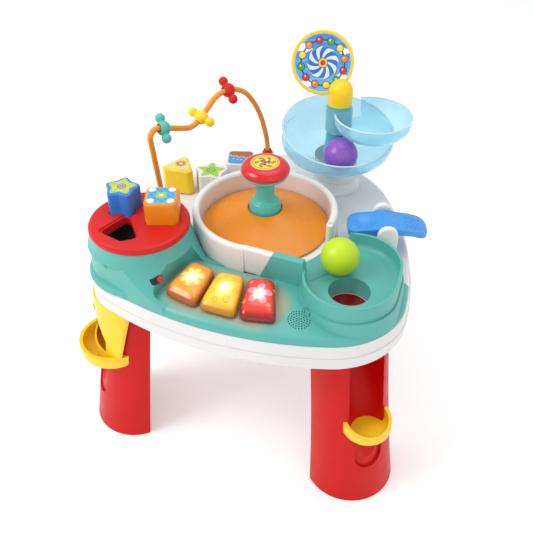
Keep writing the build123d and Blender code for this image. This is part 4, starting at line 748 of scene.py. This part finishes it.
def key_shell(kind, col):
    q = QUADS[kind]
    mx, my = sum(p[0] for p in q) / 4, sum(p[1] for p in q) / 4
    pts = [np.array(p) - np.array((mx, my)) for p in q]
    segs, rings = 480, 76
    edges = []
    for i in range(4):
        a, b = pts[i], pts[(i + 1) % 4]
        n = np.array([(b - a)[1], -(b - a)[0]])
        n = n / np.linalg.norm(n)
        d = float(n @ a)
        if d < 0:
            n, d = -n, -d
        edges.append((n, d - 0.25))
    radius_at = []
    for i in range(segs):
        t = 2 * math.pi * i / segs
        u = np.array([math.cos(t), math.sin(t)])
        total = sum((max(float(n @ u), 0.0) / d) ** 6 for n, d in edges)
        radius_at.append(total ** (-1 / 6))
    flat = int(rings * 0.80)

    def profile(k):
        if k <= flat:                       # crown
            q = k / flat
            s = 0.90 * math.sin(q * math.pi / 2 * 0.80) / math.sin(math.pi / 2 * 0.80)
            return s, 1 - 0.42 * (s / 0.90) ** 2.6
        f = (k - flat) / (rings - flat)     # shoulder and side wall
        a = f * math.pi / 2
        return 0.90 + 0.10 * math.sin(a) ** 0.9, 0.58 * (1 - f) ** 0.62

    xy, layer, faces = polar_cap(radius_at, rings, segs, profile)
    layer = np.array(layer)
    r = np.hypot(xy[:, 0], xy[:, 1])
    idx = np.concatenate([[0], np.tile(np.arange(segs), rings)])
    edge = r / np.array(radius_at)[idx]
    # fine upright ribs low on the front face
    front = smooth(-xy[:, 1], 22, 30) * smooth(edge, 0.93, 0.975) * (1 - smooth(edge, 0.995, 1.0))
    rib = 0.30 * np.sin(xy[:, 0] * 2 * math.pi / 2.4) * front
    xy = xy * (1 + rib / np.maximum(r, 1.0))[:, None]
    low, high = 354.0, 371.5
    wx, wy = mx + xy[:, 0], my + xy[:, 1]
    z = low + key_plane(wy) + (high - low) * layer
    base, glow = paint_key(kind, xy[:, 0], xy[:, 1], r, edge)
    # painted shade: the base colour is darkened down the side walls; the inner light fades there too
    shade = np.clip(layer / 0.6, 0, 1)
    base = base * (0.55 + 0.45 * shade)[:, None]
    glow = glow * (0.35 + 0.65 * shade)[:, None]
    verts = np.array([at(px, py, pz) for px, py, pz in zip(wx, wy, z)])
    # under side: a wall 2.4 mm thick, then the hollow
    n = len(verts)
    rim = xy[-segs:]
    inner = []
    for scale, zz in ((0.92, low), (0.90, low + 5.4)):
        for px, py in rim * scale:
            inner.append(at(mx + px, my + py, zz + key_plane(my + py)))
    verts = np.vstack([verts, np.array(inner)])
    for row in range(2):
        a0 = n - segs if row == 0 else n
        b0 = n if row == 0 else n + segs
        for i in range(segs):
            j = (i + 1) % segs
            faces.append((a0 + i, b0 + i, b0 + j, a0 + j))
    faces.append(tuple(n + segs + i for i in range(segs))[::-1])
    # the underside rows take the rim colour darkened to 0.6 as painted shade, with little light
    extra = np.tile(base[-segs:] * 0.6, (2, 1))
    base = np.vstack([base, extra])
    glow = np.vstack([glow, extra * 0.2])
    obj = new_object("key_%s_shell" % kind, verts, faces, key_material("key_%s_plastic" % kind, col), "key_" + kind,
                     {"print": base, "glow": glow})
    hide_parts("key_" + kind)
    return obj


key_shell("orange", srgb(232, 146, 40))
key_shell("yellow", srgb(244, 200, 50))
key_shell("red", srgb(206, 40, 40))


# ------------------------------------------------------------------ small moulded details
def tube_along(name, points, radius, mat, body, sides=12, closed=False):
    """A round bead of plastic along a line of points in metres."""
    pts = [Vector(p) for p in points]
    n = len(pts)
    verts, faces = [], []
    up = Vector((0, 0, 1))
    for i, p in enumerate(pts):
        a = pts[(i - 1) % n] if closed or i > 0 else pts[i]
        b = pts[(i + 1) % n] if closed or i < n - 1 else pts[i]
        t = (b - a).normalized()
        side = t.cross(up)
        side = side.normalized() if side.length > 1e-6 else Vector((1, 0, 0))
        nor = side.cross(t).normalized()
        share = 1.0
        if not closed:
            e = min(i, n - 1 - i)
            share = min(1.0, 0.25 + 0.75 * math.sin(min(e / 3.0, 1.0) * math.pi / 2))
        for s in range(sides):
            w = 2 * math.pi * s / sides
            verts.append(p + (side * math.cos(w) + nor * math.sin(w)) * radius * share)
    rows = n if closed else n - 1
    for i in range(rows):
        for s in range(sides):
            a0, b0 = i * sides, ((i + 1) % n) * sides
            faces.append((a0 + s, a0 + (s + 1) % sides, b0 + (s + 1) % sides, b0 + s))
    if not closed:
        faces.append(tuple(reversed(range(sides))))
        faces.append(tuple((n - 1) * sides + s for s in range(sides)))
    return new_object(name, verts, faces, mat, body)


def join(name, objs):
    """Several meshes of one body and one material made into one piece."""
    first = objs[0]
    bm = bmesh.new()
    for o in objs:
        m = o.data.copy()
        m.transform(o.matrix_world)
        bm.from_mesh(m)
        bpy.data.meshes.remove(m)
    bm.to_mesh(first.data)
    bm.free()
    first.name = name
    first.data.name = name
    for o in objs[1:]:
        bpy.data.objects.remove(o)
    return first


# wave grips on the see-saw's outer end
lever = tree("lever")
pivot = (188.0, 30.0)
la = math.radians(15)
rows = []
for row in range(4):
    u = 33.0 + row * 6.2
    line = []
    for k in range(49):
        v = -15.5 + 31.0 * k / 48
        uu = u + 1.3 * math.sin(v * 2 * math.pi / 10.5)
        x = pivot[0] + uu * math.cos(la) - v * math.sin(la)
        y = pivot[1] + uu * math.sin(la) + v * math.cos(la)
        hit = lever.ray_cast(at(x, y, 450), Vector((0, 0, -1)))
        if hit[0] is not None:
            line.append(hit[0] + hit[1] * 0.15 * MM)
    if len(line) > 8:
        rows.append(tube_along("grip_%d" % row, line, 0.75 * MM, BLUE, "lever", 10))
if rows:
    join("lever_grips", rows)


def seam(name, node, body, mat, tilt):
    """The fine weld line round a two-piece blown ball."""
    lo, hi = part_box(node)
    c, r = (lo + hi) / 2, (hi.z - lo.z) / 2
    rot = Matrix.Rotation(tilt[0], 3, "X") @ Matrix.Rotation(tilt[1], 3, "Y")
    pts = [c + rot @ Vector((math.cos(2 * math.pi * k / 160), math.sin(2 * math.pi * k / 160), 0)) * (r - 0.08 * MM) for k in range(160)]
    return tube_along(name, pts, 0.28 * MM, mat, body, 8, closed=True)


seam("ball_purple_seam", "ball_purple", "ball_purple", PURPLE, (0.25, -0.12))
seam("ball_green_seam", "ball_green", "ball_green", GREEN, (0.9, 0.5))


def dome(name, centre, normal, radius, height, mat, body, segs=64, rings=16):
    """A round button: a domed crown over a short rounded wall."""
    n = Vector(normal).normalized()
    u = n.orthogonal().normalized()
    v = n.cross(u)
    verts, faces = [centre + n * height * MM], []
    for k in range(1, rings + 1):
        f = k / rings
        r = radius * math.sin(min(f, 0.8) / 0.8 * math.pi / 2)
        h = height * (1 - 0.45 * (min(f, 0.8) / 0.8) ** 2.4) - (height * 0.55 * (max(f - 0.8, 0) / 0.2))
        for i in range(segs):
            a = 2 * math.pi * i / segs
            verts.append(centre + (u * math.cos(a) + v * math.sin(a)) * r * MM + n * h * MM)
    faces += [(0, 1 + i, 1 + (i + 1) % segs) for i in range(segs)]
    for k in range(rings - 1):
        a0, b0 = 1 + k * segs, 1 + (k + 1) * segs
        faces += [(a0 + i, b0 + i, b0 + (i + 1) % segs, a0 + (i + 1) % segs) for i in range(segs)]
    faces.append(tuple(1 + (rings - 1) * segs + i for i in reversed(range(segs))))
    return new_object(name, verts, faces, mat, body)


# switch: a dark slot plate on the drum's flank with a red button in it
console_tree = tree("console")
sw_normal = turned(0.45, -0.60, 0.66).normalized()
sw_spot = at(-119.5, -176.5, 366.5)
slide = Vector((0.60108, 0.767676, 0.22221)).normalized()
across = sw_normal.cross(slide).normalized()
hits = []
for k in range(24):
    t = 2 * math.pi * k / 24
    off = slide * math.cos(t) * 13.0 * MM + across * math.sin(t) * 8.0 * MM
    hit = console_tree.ray_cast(sw_spot + off + sw_normal * 40 * MM, -sw_normal)
    if hit[0] is not None and (hit[0] - sw_spot).length < 0.03:
        hits.append((hit[0], hit[1] if hit[1].dot(sw_normal) > 0 else -hit[1]))
skin = sum((h[1] for h in hits), Vector()).normalized()
skin = (skin - slide * skin.dot(slide)).normalized()
middle = sum((h[0] for h in hits), Vector()) / len(hits)
middle = sw_spot + skin * (middle - sw_spot).dot(skin)
lift = sorted((h[0] - middle).dot(skin) for h in hits)[-3]
face_at = middle + skin * (lift + 0.0004)
print("switch", [round(v / MM, 1) for v in face_at], [round(v, 3) for v in skin], len(hits), round(lift / MM, 2))


def oval_plate(name, centre, normal, along, half, radius, height, mat, body, segs=96, rings=10):
    """A slot-shaped plate with a rounded edge."""
    n, u = Vector(normal).normalized(), Vector(along).normalized()
    v = n.cross(u)
    outline = []
    for i in range(segs):
        a = 2 * math.pi * i / segs
        outline.append((math.cos(a) * radius + (half if math.cos(a) > 1e-6 else -half if math.cos(a) < -1e-6 else 0.0),
                        math.sin(a) * radius))
    verts, faces = [centre + n * height * MM], []
    steps = [(0.5, 1.0), (0.86, 1.0), (0.93, 0.96), (0.975, 0.82), (1.0, 0.5), (1.0, 0.0), (1.0, -6.0)]
    for share, h in steps:
        for x, y in outline:
            verts.append(centre + (u * x * share + v * y * share + n * height * h) * MM)
    faces += [(0, 1 + i, 1 + (i + 1) % segs) for i in range(segs)]
    for k in range(len(steps) - 1):
        a0, b0 = 1 + k * segs, 1 + (k + 1) * segs
        faces += [(a0 + i, b0 + i, b0 + (i + 1) % segs, a0 + (i + 1) % segs) for i in range(segs)]
    faces.append(tuple(1 + (len(steps) - 1) * segs + i for i in reversed(range(segs))))
    return new_object(name, verts, faces, mat, body)


oval_plate("switch_plate", face_at, skin, slide, 4.6, 5.2, 0.8, BLACK, "table")
dome("switch_knob", face_at + slide * 4.4 * MM + skin * 0.95 * MM, skin, 4.6, 3.6, KNOB_RED, "switch_slider")


def lathe(name, cx, cy, profile, mat, body, segs=128, limit=None):
    """A closed ring turned about an upright axis; profile is a loop of (radius, z) in millimetres; limit caps the radius at an angle."""
    verts, faces = [], []
    m = len(profile)
    for i in range(segs):
        a = 2 * math.pi * i / segs
        for r, z in profile:
            r = min(r, limit(a)) if limit else r
            verts.append(at(cx + r * math.cos(a), cy + r * math.sin(a), z))
    for i in range(segs):
        a0, b0 = i * m, ((i + 1) % segs) * m
        for k in range(m):
            faces.append((a0 + k, b0 + k, b0 + (k + 1) % m, a0 + (k + 1) % m))
    obj = new_object(name, verts, faces, mat, body)
    bm = bmesh.new()
    bm.from_mesh(obj.data)
    bmesh.ops.recalc_face_normals(bm, faces=bm.faces)
    bm.to_mesh(obj.data)
    bm.free()
    mod = obj.modifiers.new("ease", "BEVEL")
    mod.width = 0.0003
    mod.segments = 2
    mod.limit_method = "ANGLE"
    return obj


# under the sorter lid a black lining that is painted shade for the dark inside of the drum; guides under the ball hole
lathe("sorter_shade_lining", -166.0, -110.4, [(68.4, 402.0), (69.4, 402.0), (69.4, 301.6), (44.0, 300.4), (44.0, 299.4), (68.4, 300.6)],
      BLACK, "table")
lathe("drum_skirt", -166.0, -110.4, [(72.0, 398.0), (74.2, 398.0), (74.2, 334.0), (72.0, 334.0)], TEAL, "table")


def foot_limit(a):
    """The foot ring is narrower where it faces the basin."""
    off = abs((a - math.radians(33.6) + math.pi) % (2 * math.pi) - math.pi)
    return 78.5 + 6.5 * float(smooth(off, 0.75, 1.25))


lathe("drum_foot", -166.0, -110.4, [(73.6, 343.6), (76.0, 343.2), (82.0, 341.2), (85.0, 337.5), (85.0, 334.0), (73.6, 334.0)],
      TEAL, "table", limit=foot_limit)


def slot_wall(name, a, b, outer, inner, low, high, mat, body, per=64):
    """An upright wall round the hull of two circles."""
    run = math.atan2(b[1] - a[1], b[0] - a[0])
    ring_of = []
    for c, start in ((b, run - math.pi / 2), (a, run + math.pi / 2)):
        for k in range(per + 1):
            t = start + math.pi * k / per
            ring_of.append((c, math.cos(t), math.sin(t)))
    verts, faces = [], []
    for c, u, v in ring_of:
        for r, z in ((inner, low), (outer, low), (outer, high), (inner, high)):
            verts.append(at(c[0] + r * u, c[1] + r * v, z))
    n = len(ring_of)
    for i in range(n):
        a0, b0 = i * 4, ((i + 1) % n) * 4
        for k in range(4):
            faces.append((a0 + k, b0 + k, b0 + (k + 1) % 4, a0 + (k + 1) % 4))
    obj = new_object(name, verts, faces, mat, body)
    bm = bmesh.new()
    bm.from_mesh(obj.data)
    bmesh.ops.recalc_face_normals(bm, faces=bm.faces)
    bm.to_mesh(obj.data)
    bm.free()
    mod = obj.modifiers.new("ease", "BEVEL")
    mod.width = 0.0003
    mod.segments = 2
    mod.limit_method = "ANGLE"
    return obj


slot_wall("bowl_skirt", (158.5, -122.0), (160.0, -84.0), 69.2, 67.2, 334.0, 357.0, TEAL, "table")
# the guide's red is painted darker as shade down in the hole
lathe("ball_guide", 159.5, -125.0, [(31.0, 329.0), (33.2, 329.0), (33.2, 301.0), (31.0, 301.0)], SHADED_RED, "table")
lathe("ball_guide_ring", 159.5, -125.0, [(30.9, 331.4), (31.5, 332.2), (33.0, 332.2), (33.0, 329.2), (30.9, 329.2)],
      WHITE, "table")

# rim lines of the two clear bowls
TOWER_XY, UPPER_XY = (79.0, 186.0), (138.0, 176.0)
lean = math.radians(120.0)
fall = 18.0 / 95.0


def rim_run(cx, cy, radius_of, z_of, keep):
    """Runs of points round a bowl's rim, broken where something else stands."""
    runs, run = [], []
    for k in range(361):
        t = 2 * math.pi * k / 360
        z = z_of(math.cos(t), math.sin(t))
        r = radius_of(z)
        x, y = cx + r * math.cos(t), cy + r * math.sin(t)
        if keep(x, y, math.degrees(t) % 360):
            run.append(at(x, y, z))
        elif run:
            runs.append(run)
            run = []
    if run:
        runs.append(run)
    return [r for r in runs if len(r) > 12]


def clear_of_column(x, y, deg):
    return math.hypot(x - TOWER_XY[0], y - TOWER_XY[1]) > 23.6 and not 112 < deg < 166


pieces = []
for inset in (0.35, 2.15):
    for run in rim_run(*UPPER_XY, lambda z: 65.0 - inset, lambda c, s_: 487.9, clear_of_column):
        pieces.append(tube_along("rim_u", run, 0.62 * MM, RIM_BLUE, "table", 10))
join("upper_bowl_rim", pieces)
pieces = []
for inset in (0.35, 2.15):
    for run in rim_run(*TOWER_XY, lambda z: 95.6 + 1.4 * (z - 440.0) / 40.0 - inset,
                       lambda c, s_: 447.9 + fall * 96.0 * (math.cos(lean) * c + math.sin(lean) * s_), lambda x, y, d: True):
        pieces.append(tube_along("rim_l", run, 0.62 * MM, RIM_BLUE, "table", 10))
join("lower_bowl_rim", pieces)


# ------------------------------------------------------------------ stage
def quad(name, size, z, mat):
    me = bpy.data.meshes.new(name)
    bm = bmesh.new()
    bmesh.ops.create_grid(bm, x_segments=8, y_segments=8, size=size)
    bm.to_mesh(me)
    bm.free()
    me.materials.append(mat)
    o = bpy.data.objects.new(name, me)
    o.location = (0, 0, z)
    bpy.context.scene.collection.objects.link(o)
    return o


floor_z = CAD_BOX[0].z - 0.0004
quad("floor", 30.0, floor_z, floor_mat("pale_floor"))

world = bpy.data.worlds.new("studio")
world.use_nodes = True
world.node_tree.nodes["Background"].inputs[0].default_value = (1.0, 1.0, 1.0, 1.0)
world.node_tree.nodes["Background"].inputs[1].default_value = 0.72
bpy.context.scene.world = world


def softbox(name, where, target, size, power, tint=(1, 1, 1)):
    d = bpy.data.lights.new(name, "AREA")
    d.shape = "RECTANGLE"
    d.size, d.size_y = size
    d.energy = power
    d.color = tint
    o = bpy.data.objects.new(name, d)
    o.location = where
    o.rotation_euler = (Vector(target) - Vector(where)).to_track_quat("-Z", "Y").to_euler()
    bpy.context.scene.collection.objects.link(o)
    return o


softbox("key_light", (-1.3, -1.0, 1.9), (0, 0, 0.35), (1.1, 1.1), 24)
softbox("fill_light", (1.6, -1.2, 1.3), (0, 0, 0.3), (1.6, 1.6), 4)
softbox("top_light", (0.1, 0.5, 2.3), (0, 0, 0.3), (1.6, 1.6), 12)

cam = bpy.data.cameras.new("camera")
cam.lens = 48.63
cam.sensor_width = 36.0
cam.clip_start, cam.clip_end = 0.05, 30.0
camera = bpy.data.objects.new("camera", cam)
camera.location = (0.3023, -0.9357, 1.050)
camera.rotation_euler = (math.radians(50.5), 0.0, math.radians(18.5))
bpy.context.scene.collection.objects.link(camera)
bpy.context.scene.camera = camera

bpy.context.scene.view_settings.view_transform = "Standard"
bpy.context.scene.view_settings.look = "None"
bpy.context.scene.view_settings.exposure = 0.0
bpy.context.scene.view_settings.gamma = 1.0
